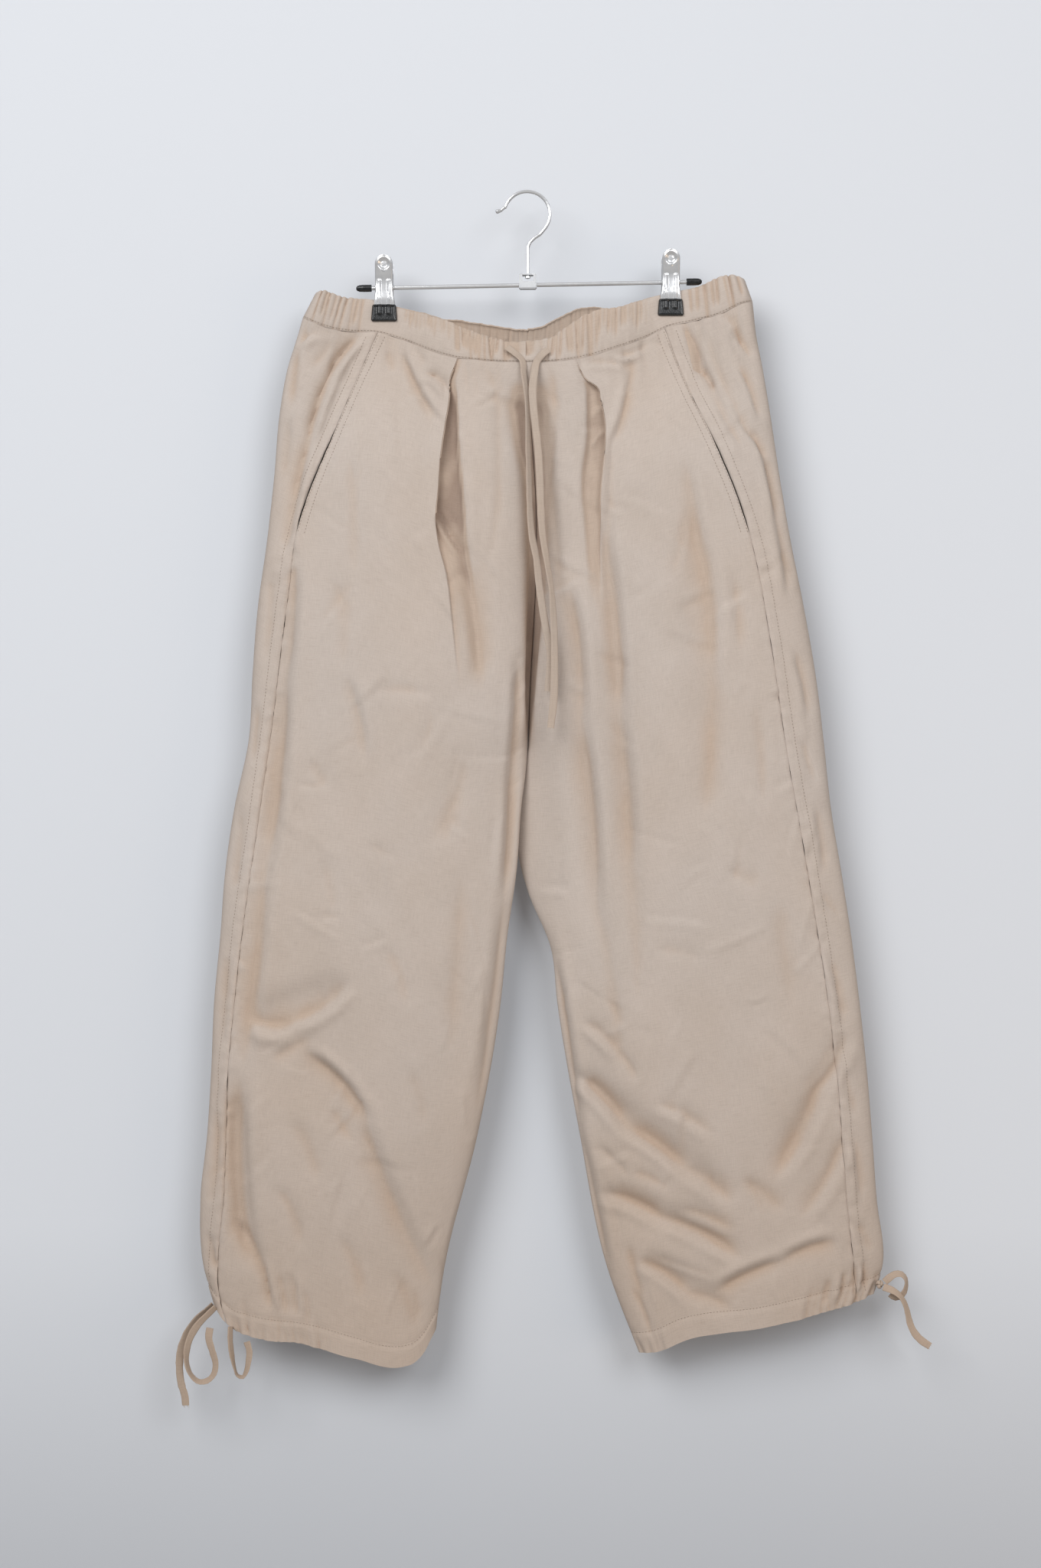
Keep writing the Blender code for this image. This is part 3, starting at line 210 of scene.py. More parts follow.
# Half of the garment by height. outer and inner are the outline's distances from the centre line, and
# front and back are how far each face stands from the middle of the cloth.
RIGHT_FORM = (
    (-0.10, 0.2010, 0.0130, 0.012, 0.010),
    (-0.13, 0.2095, 0.0130, 0.014, 0.011),
    (-0.16, 0.2188, 0.0123, 0.017, 0.013),
    (-0.20, 0.2260, 0.0052, 0.021, 0.017),
    (-0.26, 0.2313, 0.0004, 0.025, 0.021),
    (-0.32, 0.2380, -0.0014, 0.028, 0.024),
    (-0.38, 0.2463, 0.0016, 0.030, 0.026),
    (-0.44, 0.2510, -0.0028, 0.031, 0.027),
    (-0.50, 0.2545, -0.0006, 0.030, 0.027),
    (-0.56, 0.2672, 0.0032, 0.028, 0.026),
    (-0.62, 0.2760, 0.0070, 0.027, 0.025),
    (-0.68, 0.2806, 0.0160, 0.026, 0.024),
    (-0.74, 0.2862, 0.0225, 0.025, 0.023),
    (-0.80, 0.2888, 0.0325, 0.024, 0.023),
    (-0.86, 0.2925, 0.0440, 0.024, 0.022),
    (-0.92, 0.2987, 0.0585, 0.023, 0.022),
    (-0.98, 0.2960, 0.0740, 0.022, 0.021),
    (-1.02, 0.2850, 0.0825, 0.022, 0.021),
    (-1.07, 0.2800, 0.0860, 0.022, 0.021),
)
LEFT_FORM = (
    (-0.10, 0.2062, 0.0080, 0.012, 0.010),
    (-0.13, 0.2095, 0.0080, 0.014, 0.011),
    (-0.16, 0.2153, 0.0080, 0.017, 0.013),
    (-0.20, 0.2220, 0.0113, 0.021, 0.017),
    (-0.26, 0.2310, 0.0172, 0.025, 0.021),
    (-0.32, 0.2413, 0.0235, 0.028, 0.024),
    (-0.38, 0.2532, 0.0140, 0.030, 0.026),
    (-0.44, 0.2637, 0.0052, 0.031, 0.027),
    (-0.50, 0.2711, 0.0085, 0.030, 0.027),
    (-0.56, 0.2775, 0.0140, 0.028, 0.026),
    (-0.62, 0.2872, 0.0178, 0.027, 0.025),
    (-0.68, 0.2965, 0.0228, 0.026, 0.024),
    (-0.74, 0.3040, 0.0263, 0.025, 0.023),
    (-0.80, 0.3105, 0.0335, 0.024, 0.023),
    (-0.86, 0.3155, 0.0467, 0.024, 0.022),
    (-0.92, 0.3198, 0.0570, 0.023, 0.022),
    (-0.98, 0.3252, 0.0715, 0.022, 0.021),
    (-1.02, 0.3130, 0.0862, 0.022, 0.021),
    (-1.07, 0.3100, 0.1050, 0.022, 0.021),
)

# Centre seams above the crotch: height, x and y
CENTRE_FRONT = (
    (-0.150, -0.0020, -0.0170),
    (-0.180, 0.0010, -0.0090),
    (-0.220, 0.0040, -0.0040),
    (-0.280, 0.0080, 0.0005),
    (-0.340, 0.0085, 0.0035),
    (-0.400, 0.0060, 0.0065),
    (-0.450, 0.0030, 0.0100),
    (-0.506, 0.0010, 0.0140),
)
CENTRE_BACK = (
    (-0.150, 0.0000, 0.0120),
    (-0.220, 0.0000, 0.0180),
    (-0.300, 0.0000, 0.0220),
    (-0.400, 0.0010, 0.0240),
    (-0.460, 0.0020, 0.0210),
    (-0.506, 0.0010, 0.0140),
)

# Inseams below the crotch: height, distance from the centre line towards the leg, and y
RIGHT_INSEAM = (
    (-0.506, -0.0010, 0.0140),
    (-0.530, 0.0012, 0.0060),
    (-0.560, 0.0050, 0.0000),
    (-0.620, 0.0095, -0.0020),
    (-0.680, 0.0180, -0.0020),
    (-0.740, 0.0240, 0.0000),
    (-0.860, 0.0450, 0.0000),
    (-0.980, 0.0750, 0.0000),
    (-1.070, 0.0870, 0.0000),
)
LEFT_INSEAM = (
    (-0.506, 0.0010, 0.0140),
    (-0.560, -0.0085, 0.0160),
    (-0.600, -0.0090, 0.0160),
    (-0.640, 0.0010, 0.0130),
    (-0.690, 0.0215, 0.0060),
    (-0.740, 0.0275, 0.0020),
    (-0.860, 0.0480, 0.0000),
    (-0.980, 0.0725, 0.0000),
    (-1.070, 0.1060, 0.0000),
)

# Side seams, which lie on the front face: height and distance from the centre line
RIGHT_SIDE_SEAM = (
    (-0.126, 0.1355),
    (-0.168, 0.1544),
    (-0.212, 0.1726),
    (-0.315, 0.2097),
    (-0.365, 0.2174),
    (-0.486, 0.2321),
    (-0.553, 0.2412),
    (-0.692, 0.2615),
    (-0.802, 0.2723),
    (-0.913, 0.2764),
    (-1.010, 0.2800),
    (-1.040, 0.2720),
)
LEFT_SIDE_SEAM = (
    (-0.122, 0.1250),
    (-0.148, 0.1348),
    (-0.188, 0.1509),
    (-0.223, 0.1670),
    (-0.307, 0.1996),
    (-0.405, 0.2195),
    (-0.512, 0.2356),
    (-0.634, 0.2573),
    (-0.792, 0.2804),
    (-0.929, 0.2916),
    (-1.013, 0.3007),
    (-1.060, 0.3020),
)

# Across one side, from its outer edge at share 0 to the centre line at share 1
RIGHT_WAIST_SEAM = (
    (0.000, -0.1148),
    (0.085, -0.1225),
    (0.208, -0.1274),
    (0.346, -0.1280),
    (0.470, -0.1351),
    (0.565, -0.1435),
    (0.695, -0.1526),
    (0.797, -0.1554),
    (1.000, -0.1580),
)
LEFT_WAIST_SEAM = (
    (0.000, -0.1001),
    (0.083, -0.1057),
    (0.138, -0.1113),
    (0.248, -0.1169),
    (0.397, -0.1239),
    (0.479, -0.1323),
    (0.614, -0.1435),
    (0.784, -0.1540),
    (1.000, -0.1580),
)
RIGHT_BAND_TOP = (
    (0.000, -0.0925),
    (0.060, -0.0900),
    (0.130, -0.0945),
    (0.286, -0.0973),
    (0.420, -0.1050),
    (0.540, -0.1099),
    (0.634, -0.1160),
    (0.797, -0.1295),
    (0.900, -0.1362),
    (1.000, -0.1372),
)
LEFT_BAND_TOP = (
    (0.000, -0.0800),
    (0.050, -0.0765),
    (0.148, -0.0791),
    (0.220, -0.0847),
    (0.296, -0.0889),
    (0.425, -0.0945),
    (0.506, -0.0987),
    (0.600, -0.1043),
    (0.737, -0.1110),
    (0.820, -0.1220),
    (0.900, -0.1335),
    (1.000, -0.1372),
)
RIGHT_HEM = (
    (0.000, -1.0157),
    (0.031, -1.0276),
    (0.072, -1.0360),
    (0.148, -1.0409),
    (0.466, -1.0507),
    (0.631, -1.0605),
    (0.759, -1.0682),
    (0.859, -1.0696),
    (0.917, -1.0660),
    (0.960, -1.0560),
    (1.000, -1.0370),
)
LEFT_HEM = (
    (0.000, -1.0066),
    (0.065, -1.0122),
    (0.209, -1.0206),
    (0.444, -1.0332),
    (0.765, -1.0437),
    (0.915, -1.0570),
    (1.000, -1.0598),
)
BAND_SIDE_LEAN = {"right": 0.943, "left": 0.965}
BACK_BAND_RISE = ((0.60, 0.0), (0.80, 0.0108), (0.90, 0.0142), (1.00, 0.0145))

# How far each face of the waist stands from the middle, by share; the clips pinch it nearly shut
FRONT_WAIST_DEPTH = (
    (0.00, 0.0120),
    (0.10, 0.0105),
    (0.20, 0.0062),
    (0.29, 0.0019),
    (0.375, 0.0018),
    (0.46, 0.0019),
    (0.56, 0.0080),
    (0.70, 0.0130),
    (0.85, 0.0160),
    (1.00, 0.0170),
)
BACK_WAIST_DEPTH = (
    (0.00, 0.0110),
    (0.10, 0.0095),
    (0.16, 0.0062),
    (0.24, 0.0019),
    (0.375, 0.0018),
    (0.46, 0.0019),
    (0.60, 0.0070),
    (0.80, 0.0100),
    (1.00, 0.0120),
)

# Largest folds of the front, in the outline's x and z: ends, half width and depth, troughs positive
FRONT_FOLDS = (
    (-0.1500, -0.135, -0.2000, -0.270, 0.014, 0.0050),
    (0.1400, -0.125, 0.1720, -0.200, 0.012, 0.0045),
    (-0.2200, -0.360, -0.2380, -0.640, 0.012, 0.0045),
    (-0.0100, -0.430, -0.0200, -0.640, 0.010, 0.0040),
    (0.0400, -0.380, 0.0600, -0.680, 0.014, 0.0045),
    (0.0720, -0.300, 0.0920, -0.640, 0.013, 0.0040),
    (0.1530, -0.300, 0.1620, -0.560, 0.016, 0.0040),
    (-0.2480, -0.750, -0.1640, -0.720, 0.014, 0.0045),
    (-0.1980, -0.785, -0.0850, -0.990, 0.016, 0.0050),
    (-0.2600, -0.830, -0.2480, -0.970, 0.011, 0.0050),
    (0.0480, -0.810, 0.1830, -0.915, 0.014, 0.0055),
    (0.0700, -0.915, 0.1900, -0.965, 0.014, 0.0050),
    (0.1080, -0.975, 0.1830, -1.015, 0.012, 0.0040),
    (0.2800, -0.800, 0.2280, -0.890, 0.014, 0.0045),
)
BACK_FOLDS = (
    (-0.0400, -0.160, -0.0480, -0.300, 0.012, 0.0050),
    (-0.0900, -0.150, -0.1000, -0.260, 0.012, 0.0045),
    (-0.1650, -0.150, -0.1850, -0.300, 0.014, 0.0050),
    (0.0380, -0.160, 0.0460, -0.280, 0.012, 0.0050),
    (0.0900, -0.150, 0.1050, -0.280, 0.012, 0.0045),
    (0.1620, -0.150, 0.1820, -0.290, 0.014, 0.0050),
    (-0.0700, -0.400, -0.0900, -0.700, 0.016, 0.0045),
    (0.0800, -0.420, 0.1000, -0.720, 0.016, 0.0045),
    (-0.2200, -0.760, -0.1100, -0.880, 0.015, 0.0045),
    (0.2400, -0.780, 0.1200, -0.890, 0.015, 0.0045),
    (0.1100, -0.960, 0.2200, -1.000, 0.014, 0.0040),
    (-0.1300, -0.960, -0.2300, -0.990, 0.014, 0.0040),
)

# Routes of the tapes, in metres
DRAWSTRING_RIGHT = (
    (-0.0048, -0.0189, -0.1555), (-0.0030, -0.0225, -0.1700), (-0.0004, -0.0250, -0.1880),
    (0.0008, -0.0270, -0.2100), (0.0010, -0.0285, -0.2350), (0.0016, -0.0300, -0.2600),
    (0.0024, -0.0316, -0.2900), (0.0046, -0.0330, -0.3180), (0.0084, -0.0338, -0.3370),
    (0.0108, -0.0342, -0.3600), (0.0138, -0.0345, -0.3820), (0.0172, -0.0347, -0.4020),
    (0.0208, -0.0348, -0.4210), (0.0204, -0.0348, -0.4400), (0.0186, -0.0348, -0.4570),
)
DRAWSTRING_LEFT = (
    (0.0095, -0.0182, -0.1557), (0.0066, -0.0240, -0.1680), (0.0050, -0.0275, -0.1830),
    (0.0060, -0.0320, -0.2040), (0.0090, -0.0345, -0.2300), (0.0112, -0.0360, -0.2600),
    (0.0122, -0.0370, -0.2880), (0.0138, -0.0382, -0.3150), (0.0176, -0.0388, -0.3400),
    (0.0218, -0.0392, -0.3650), (0.0236, -0.0394, -0.3900), (0.0245, -0.0395, -0.4150),
    (0.0245, -0.0395, -0.4400), (0.0238, -0.0394, -0.4650), (0.0210, -0.0392, -0.4900),
)
HEM_TIE_RIGHT_TAIL = (
    (-0.2874, -0.0017, -1.0153), (-0.2930, -0.0040, -1.0205), (-0.2982, -0.0060, -1.0245),
    (-0.3040, -0.0070, -1.0310), (-0.3090, -0.0075, -1.0380), (-0.3130, -0.0080, -1.0470),
    (-0.3158, -0.0080, -1.0565), (-0.3168, -0.0080, -1.0665), (-0.3166, -0.0080, -1.0770),
    (-0.3152, -0.0080, -1.0870), (-0.3118, -0.0080, -1.0990), (-0.3112, -0.0080, -1.1065),
)
HEM_TIE_RIGHT_LOOP = (
    (-0.2842, -0.0083, -1.0172), (-0.2905, -0.0120, -1.0230), (-0.2985, -0.0135, -1.0310),
    (-0.3060, -0.0140, -1.0430), (-0.3095, -0.0140, -1.0560), (-0.3092, -0.0140, -1.0680),
    (-0.3050, -0.0140, -1.0780), (-0.2985, -0.0140, -1.0835), (-0.2905, -0.0140, -1.0825),
    (-0.2850, -0.0138, -1.0770), (-0.2832, -0.0136, -1.0680), (-0.2862, -0.0134, -1.0560),
    (-0.2895, -0.0130, -1.0440), (-0.2885, -0.0126, -1.0350),
)
HEM_TIE_RIGHT_SHORT_LOOP = (
    (-0.2695, -0.0153, -1.0331), (-0.2694, -0.0178, -1.0440), (-0.2678, -0.0185, -1.0580),
    (-0.2655, -0.0185, -1.0690), (-0.2625, -0.0185, -1.0770), (-0.2585, -0.0185, -1.0785),
    (-0.2548, -0.0185, -1.0730), (-0.2528, -0.0185, -1.0640), (-0.2520, -0.0180, -1.0550),
    (-0.2545, -0.0172, -1.0465),
)
HEM_TIE_LEFT_LOOP = (
    (0.3260, -0.0077, -0.9942), (0.3310, -0.0085, -0.9895), (0.3355, -0.0085, -0.9868),
    (0.3410, -0.0085, -0.9868), (0.3450, -0.0085, -0.9910), (0.3453, -0.0085, -0.9985),
    (0.3415, -0.0085, -1.0060), (0.3355, -0.0085, -1.0080), (0.3310, -0.0082, -1.0050),
)
HEM_TIE_LEFT_TAIL = (
    (0.3242, -0.0115, -0.9980), (0.3322, -0.0145, -1.0005), (0.3385, -0.0150, -1.0050),
    (0.3430, -0.0150, -1.0120), (0.3455, -0.0150, -1.0200), (0.3478, -0.0150, -1.0300),
    (0.3520, -0.0150, -1.0390), (0.3585, -0.0150, -1.0460), (0.3660, -0.0150, -1.0510),
)

# Pleats, from the waist seam down. edge is where the flap ends, far is where the cloth beyond comes forward
# again, depth is how far the cloth between lies back and under is how far the flap overhangs it.
PLEAT_RIGHT = (
    (-0.1505, -0.0630, -0.0615, 0.0010, 0.0000),
    (-0.1600, -0.0660, -0.0635, 0.0022, 0.0010),
    (-0.1710, -0.0702, -0.0680, 0.0040, 0.0018),
    (-0.1880, -0.0708, -0.0672, 0.0060, 0.0024),
    (-0.2160, -0.0750, -0.0660, 0.0085, 0.0024),
    (-0.2450, -0.0790, -0.0645, 0.0090, 0.0022),
    (-0.2730, -0.0808, -0.0615, 0.0085, 0.0018),
    (-0.3040, -0.0830, -0.0590, 0.0066, 0.0010),
    (-0.3260, -0.0800, -0.0570, 0.0050, 0.0003),
    (-0.3500, -0.0740, -0.0540, 0.0036, 0.0000),
    (-0.3900, -0.0690, -0.0480, 0.0022, 0.0000),
    (-0.4400, -0.0640, -0.0400, 0.0008, 0.0000),
)
PLEAT_LEFT = (
    (-0.1530, 0.0450, 0.0440, 0.0010, 0.0000),
    (-0.1640, 0.0486, 0.0470, 0.0022, 0.0012),
    (-0.1740, 0.0556, 0.0538, 0.0034, 0.0020),
    (-0.1785, 0.0626, 0.0560, 0.0048, 0.0024),
    (-0.1910, 0.0668, 0.0570, 0.0062, 0.0026),
    (-0.2110, 0.0710, 0.0572, 0.0072, 0.0026),
    (-0.2310, 0.0712, 0.0565, 0.0074, 0.0024),
    (-0.2540, 0.0690, 0.0530, 0.0066, 0.0022),
    (-0.2760, 0.0672, 0.0520, 0.0058, 0.0018),
    (-0.3000, 0.0668, 0.0540, 0.0046, 0.0010),
    (-0.3260, 0.0668, 0.0560, 0.0032, 0.0003),
    (-0.3600, 0.0680, 0.0590, 0.0014, 0.0000),
)

# Creases in millimetres, listed one by one. A row runs from start to end with its middle pushed aside by bow.
# width is half its width, depth is how far it presses in (below 0 it stands out), and lean is the side,
# -1, 0 or 1, on which a soft ridge stands beside it.
FRONT_RIGHT_CREASES = (
    (-115, -141, -78, -212, -5, 4.0, 2.4, 1),
    (-92, -166, -72, -184, 3, 4.5, 2.6, -1),
    (-105, -142, -92, -160, 2, 3.5, 1.8, 0),
    (-127, -146, -121, -164, 0, 4.5, 1.0, 0),
    (-98, -185, -80, -226, -2, 5.0, 1.0, 0),
    (-79, -293, -56, -334, -3, 3.2, 3.0, -1),
    (-74, -288, -62, -306, 0, 2.4, 1.2, 0),
    (-60, -328, -44, -446, 5, 9.0, 2.6, -1),
    (-60, -347, -74, -360, 2, 5.0, 1.0, 0),
    (-56, -512, -86, -594, 6, 13.0, 1.6, 0),
    (-161, -238, -157, -354, 2, 9.0, 1.3, 0),
    (-163, -354, -166, -440, 0, 10.0, 0.9, 0),
    (-36, -161, -26, -214, 3, 5.0, 1.4, 0),
    (-27, -205, -24, -300, 0, 6.0, 1.2, 0),
    (-48, -160, -44, -190, 0, 4.0, 0.9, 0),
    (-50, -250, -47, -400, 0, 9.0, -0.8, 0),
    (-163, -444, -146, -520, 3, 6.0, 1.7, 1),
    (-137, -457, -83, -461, 4, 9.0, 1.0, 0),
    (-195, -520, -180, -545, 0, 9.0, 1.0, 0),
    (-212, -335, -220, -446, 2, 8.0, 2.2, 1),
    (-220, -440, -238, -620, 3, 9.0, 2.6, 1),
    (-238, -612, -258, -795, 2, 9.0, 2.4, 1),
    (-262, -812, -254, -972, -5, 11.0, 4.2, 1),
    (-264, -938, -241, -984, 3, 6.0, 2.8, 0),
    (-8, -430, -14, -540, 1, 6.0, 2.2, -1),
    (-14, -530, -20, -640, 1, 6.0, 2.4, -1),
    (-20, -640, -44, -830, 2, 8.0, 1.6, -1),
    (-60, -620, -72, -780, 3, 13.0, 1.3, 0),
    (-250, -753, -212, -756, -4, 9.0, 3.4, -1),
    (-216, -755, -163, -719, -5, 8.0, 2.8, -1),
    (-230, -790, -196, -770, 0, 9.0, 1.4, 0),
    (-199, -785, -146, -842, 5, 6.5, 3.2, 1),
    (-150, -838, -84, -1000, -6, 10.0, 2.0, 1),
    (-176, -836, -160, -864, 0, 5.0, 1.4, 0),
    (-212, -846, -190, -900, 4, 10.0, 1.4, 0),
    (-128, -690, -110, -740, 4, 10.0, 1.0, 0),
    (-105, -800, -92, -850, 2, 9.0, 0.9, 0),
    (-228, -905, -205, -960, 5, 8.0, 1.6, 0),
    (-170, -950, -150, -1005, 4, 9.0, 1.2, 0),
    (-120, -985, -100, -1035, 3, 8.0, 1.2, 0),
    (-240, -975, -232, -1015, 0, 3.6, 2.2, 1),
    (-225, -985, -219, -1020, 0, 3.4, 1.6, -1),
    (-212, -985, -208, -1022, 0, 3.2, 1.5, 1),
    (-200, -1000, -198, -1028, 0, 3.6, 1.1, 0),
    (-190, -660, -168, -664, 2, 5.0, 0.8, 0),
    (-144, -596, -120, -610, 2, 6.0, 0.7, 0),
    (-184, -610, -176, -660, 2, 11.0, 0.9, 0),
)
RIGHT_STRIP_CREASES = (
    (-150, -128, -182, -173, -3, 4.2, 3.8, 1),
    (-180, -170, -199, -230, -2, 4.6, 3.8, 1),
    (-198, -226, -213, -288, -1, 5.5, 2.8, 1),
    (-212, -284, -219, -330, 0, 6.5, 1.6, 1),
    (-207, -137, -186, -128, 2, 4.5, 2.2, -1),
    (-186, -128, -168, -126, -2, 4.0, 1.6, 0),
    (-211, -146, -215, -196, 0, 5.0, 1.8, 0),
    (-176, -132, -196, -160, 2, 5.0, 1.2, 0),
    (-217, -210, -222, -262, 0, 5.0, 1.0, 0),
    (-234, -350, -238, -430, 2, 5.0, 1.2, 0),
    (-246, -470, -250, -520, 0, 5.0, 1.2, 0),
    (-262, -560, -268, -640, 2, 6.0, 1.2, 0),
    (-274, -700, -278, -780, 0, 5.0, 1.2, 0),
    (-284, -840, -288, -920, 2, 5.0, 1.4, 0),
    (-290, -950, -284, -985, 0, 5.0, 1.6, 0),
)
FRONT_LEFT_CREASES = (
    (37, -360, 48, -486, 4, 8.0, 2.6, 1),
    (47, -480, 62, -662, 4, 9.0, 2.4, 1),
    (62, -650, 84, -800, 4, 10.0, 1.4, 0),
    (67, -300, 83, -488, 4, 8.5, 3.0, 1),
    (82, -480, 92, -625, 3, 9.0, 2.6, 1),
    (92, -615, 100, -740, 2, 11.0, 1.4, 0),
    (143, -253, 153, -330, 3, 7.0, 1.8, 1),
    (152, -300, 166, -450, 5, 11.0, 2.2, 1),
    (166, -440, 161, -572, 3, 12.0, 1.9, 0),
    (78, -148, 103, -144, -3, 3.4, 2.8, -1),
    (102, -146, 112, -137, 1, 3.0, 2.4, 0),
    (112, -137, 122, -141, 2, 3.0, 2.0, 0),
    (50, -158, 88, -159, 2, 3.4, 1.8, -1),
    (86, -162, 96, -158, 0, 3.4, 1.0, 0),
    (97, -151, 93, -182, 1, 4.5, 1.6, 0),
    (93, -178, 78, -232, 2, 4.5, 2.0, -1),
    (77, -228, 72, -330, 1, 6.0, 1.5, -1),
    (60, -206, 69, -191, 0, 2.2, -1.2, 0),
    (58, -234, 71, -214, 0, 2.2, -1.2, 0),
    (23, -166, 25, -212, 1, 5.0, 1.4, 0),
    (25, -206, 18, -270, 1, 5.0, 1.2, 0),
    (20, -262, 28, -380, 2, 8.0, 1.2, 0),
    (40, -180, 42, -330, 1, 9.0, -0.8, 0),
    (22, -690, 47, -862, 2, 7.0, 2.2, 1),
    (46, -855, 72, -990, 2, 7.0, 2.0, 1),
    (53, -757, 84, -785, 2, 5.5, 2.2, -1),
    (82, -783, 99, -808, 2, 5.5, 1.5, 0),
    (48, -806, 92, -853, 3, 7.5, 3.4, -1),
    (90, -850, 148, -893, 3, 7.5, 3.2, -1),
    (146, -890, 184, -917, 2, 8.0, 2.2, -1),
    (70, -912, 124, -935, 3, 7.5, 3.0, -1),
    (122, -933, 192, -968, 3, 7.5, 2.8, -1),
    (104, -973, 149, -1005, 3, 6.5, 2.4, -1),
    (146, -1003, 184, -1015, 2, 6.5, 1.8, 0),
    (172, -1000, 234, -972, 3, 6.5, 2.6, 1),
    (232, -972, 280, -956, 3, 6.5, 2.2, 1),
    (290, -770, 262, -822, 3, 8.0, 2.0, 1),
    (266, -812, 226, -894, 4, 8.5, 2.6, 1),
    (288, -860, 250, -930, 4, 8.0, 1.8, 1),
    (120, -830, 168, -858, 3, 6.0, 1.4, -1),
    (140, -925, 188, -944, 2, 6.0, 1.4, -1),
    (96, -892, 130, -908, 2, 6.0, 1.3, 0),
    (62, -870, 92, -896, 2, 5.0, 1.3, 0),
    (196, -900, 232, -926, 3, 9.0, 1.4, 0),
    (118, -690, 160, -700, 3, 10.0, 0.9, 0),
    (180, -620, 210, -632, 3, 10.0, 0.9, 0),
    (186, -350, 192, -420, 2, 8.0, 1.2, 0),
    (206, -470, 214, -560, 2, 8.0, 1.2, 0),
    (228, -650, 240, -740, 2, 9.0, 1.3, 0),
    (92, -960, 104, -1010, 0, 5.0, 1.3, 0),
    (120, -350, 126, -420, 2, 9.0, -0.8, 0),
    (96, -1000, 112, -1040, 2, 3.6, 1.5, 0),
    (276, -990, 272, -1012, 0, 3.0, 1.8, 1),
    (288, -982, 285, -1010, 0, 2.8, 1.8, -1),
    (299, -978, 298, -1008, 0, 2.8, 1.6, 1),
)
LEFT_STRIP_CREASES = (
    (142, -119, 156, -163, 2, 4.0, 3.4, -1),
    (155, -160, 170, -184, 2, 4.0, 3.0, -1),
    (169, -182, 198, -238, -2, 5.0, 1.6, -1),
    (177, -111, 189, -124, 1, 3.6, 2.6, -1),
    (188, -122, 204, -151, -2, 3.8, 2.8, -1),
    (163, -130, 188, -195, -2, 4.2, 1.5, -1),
    (187, -192, 206, -230, -1, 4.2, 1.6, -1),
    (192, -158, 212, -208, 2, 4.0, 2.0, -1),
    (203, -220, 217, -245, 1, 4.0, 2.8, -1),
    (216, -242, 228, -300, 1, 4.6, 2.8, -1),
    (226, -296, 238, -372, 2, 5.5, 1.8, -1),
    (232, -330, 246, -352, 0, 4.0, 1.2, 0),
    (243, -420, 256, -480, 2, 5.0, 1.6, -1),
    (250, -500, 262, -540, 0, 4.5, 1.4, 0),
    (262, -560, 270, -620, 2, 5.0, 1.4, -1),
    (268, -640, 286, -662, 0, 4.0, 1.3, 0),
    (276, -700, 288, -760, 2, 5.0, 1.5, -1),
    (288, -800, 300, -842, 0, 4.5, 1.4, 0),
    (296, -860, 304, -920, 2, 5.0, 1.5, -1),
    (302, -940, 314, -965, 0, 4.0, 1.4, 0),
    (306, -975, 308, -1000, 0, 3.0, 1.6, 0),
)
BACK_RIGHT_CREASES = (
    (-30, -160, -42, -300, 3, 7.0, 3.0, 1),
    (-62, -150, -70, -250, 3, 6.0, 2.4, -1),
    (-95, -150, -104, -262, 3, 6.0, 2.6, 1),
    (-140, -135, -152, -230, 4, 6.0, 2.4, -1),
    (-178, -140, -196, -260, 4, 7.0, 2.6, 1),
    (-60, -300, -74, -470, 5, 10.0, 2.2, 1),
    (-130, -300, -150, -480, 6, 12.0, 1.8, 0),
    (-10, -440, -30, -600, 5, 8.0, 2.8, -1),
    (-40, -470, -100, -540, 6, 9.0, 2.4, -1),
    (-28, -520, -86, -600, 6, 9.0, 2.2, -1),
    (-90, -600, -104, -760, 6, 12.0, 1.8, 0),
    (-200, -520, -214, -680, 6, 12.0, 1.8, 1),
    (-240, -760, -180, -810, 5, 9.0, 2.8, 1),
    (-186, -806, -104, -880, 5, 9.0, 2.8, 1),
    (-262, -860, -220, -940, 5, 9.0, 2.4, 1),
    (-150, -900, -96, -1000, 5, 9.0, 2.0, 0),
    (-236, -985, -226, -1030, 0, 4.0, 1.8, 1),
    (-208, -990, -200, -1034, 0, 4.0, 1.6, -1),
    (-180, -1000, -176, -1040, 0, 4.0, 1.4, 1),
    (-150, -1000, -146, -1046, 0, 4.0, 1.2, 0),
)
BACK_LEFT_CREASES = (
    (28, -160, 38, -290, 3, 7.0, 2.8, -1),
    (58, -150, 66, -260, 3, 6.0, 2.4, 1),
    (98, -145, 108, -250, 3, 6.0, 2.4, -1),
    (146, -130, 158, -236, 4, 6.0, 2.6, 1),
    (180, -130, 200, -250, 4, 7.0, 2.6, -1),
    (66, -300, 80, -480, 5, 10.0, 2.0, -1),
    (132, -290, 152, -460, 6, 12.0, 1.8, 0),
    (14, -440, 40, -590, 5, 8.0, 2.6, 1),
    (44, -476, 104, -548, 6, 9.0, 2.4, 1),
    (34, -530, 96, -610, 6, 9.0, 2.0, 1),
    (100, -600, 116, -770, 6, 12.0, 1.8, 0),
    (210, -500, 224, -660, 6, 12.0, 1.8, -1),
    (250, -770, 190, -822, 5, 9.0, 2.6, -1),
    (192, -818, 116, -894, 5, 9.0, 2.8, -1),
    (276, -850, 232, -930, 5, 9.0, 2.2, -1),
    (160, -890, 110, -980, 5, 9.0, 2.0, 0),
    (120, -960, 220, -1002, 5, 7.0, 2.0, 0),
    (250, -965, 244, -1016, 0, 4.0, 1.6, 1),
    (216, -985, 212, -1028, 0, 4.0, 1.4, -1),
    (180, -1000, 178, -1036, 0, 4.0, 1.2, 0),
)

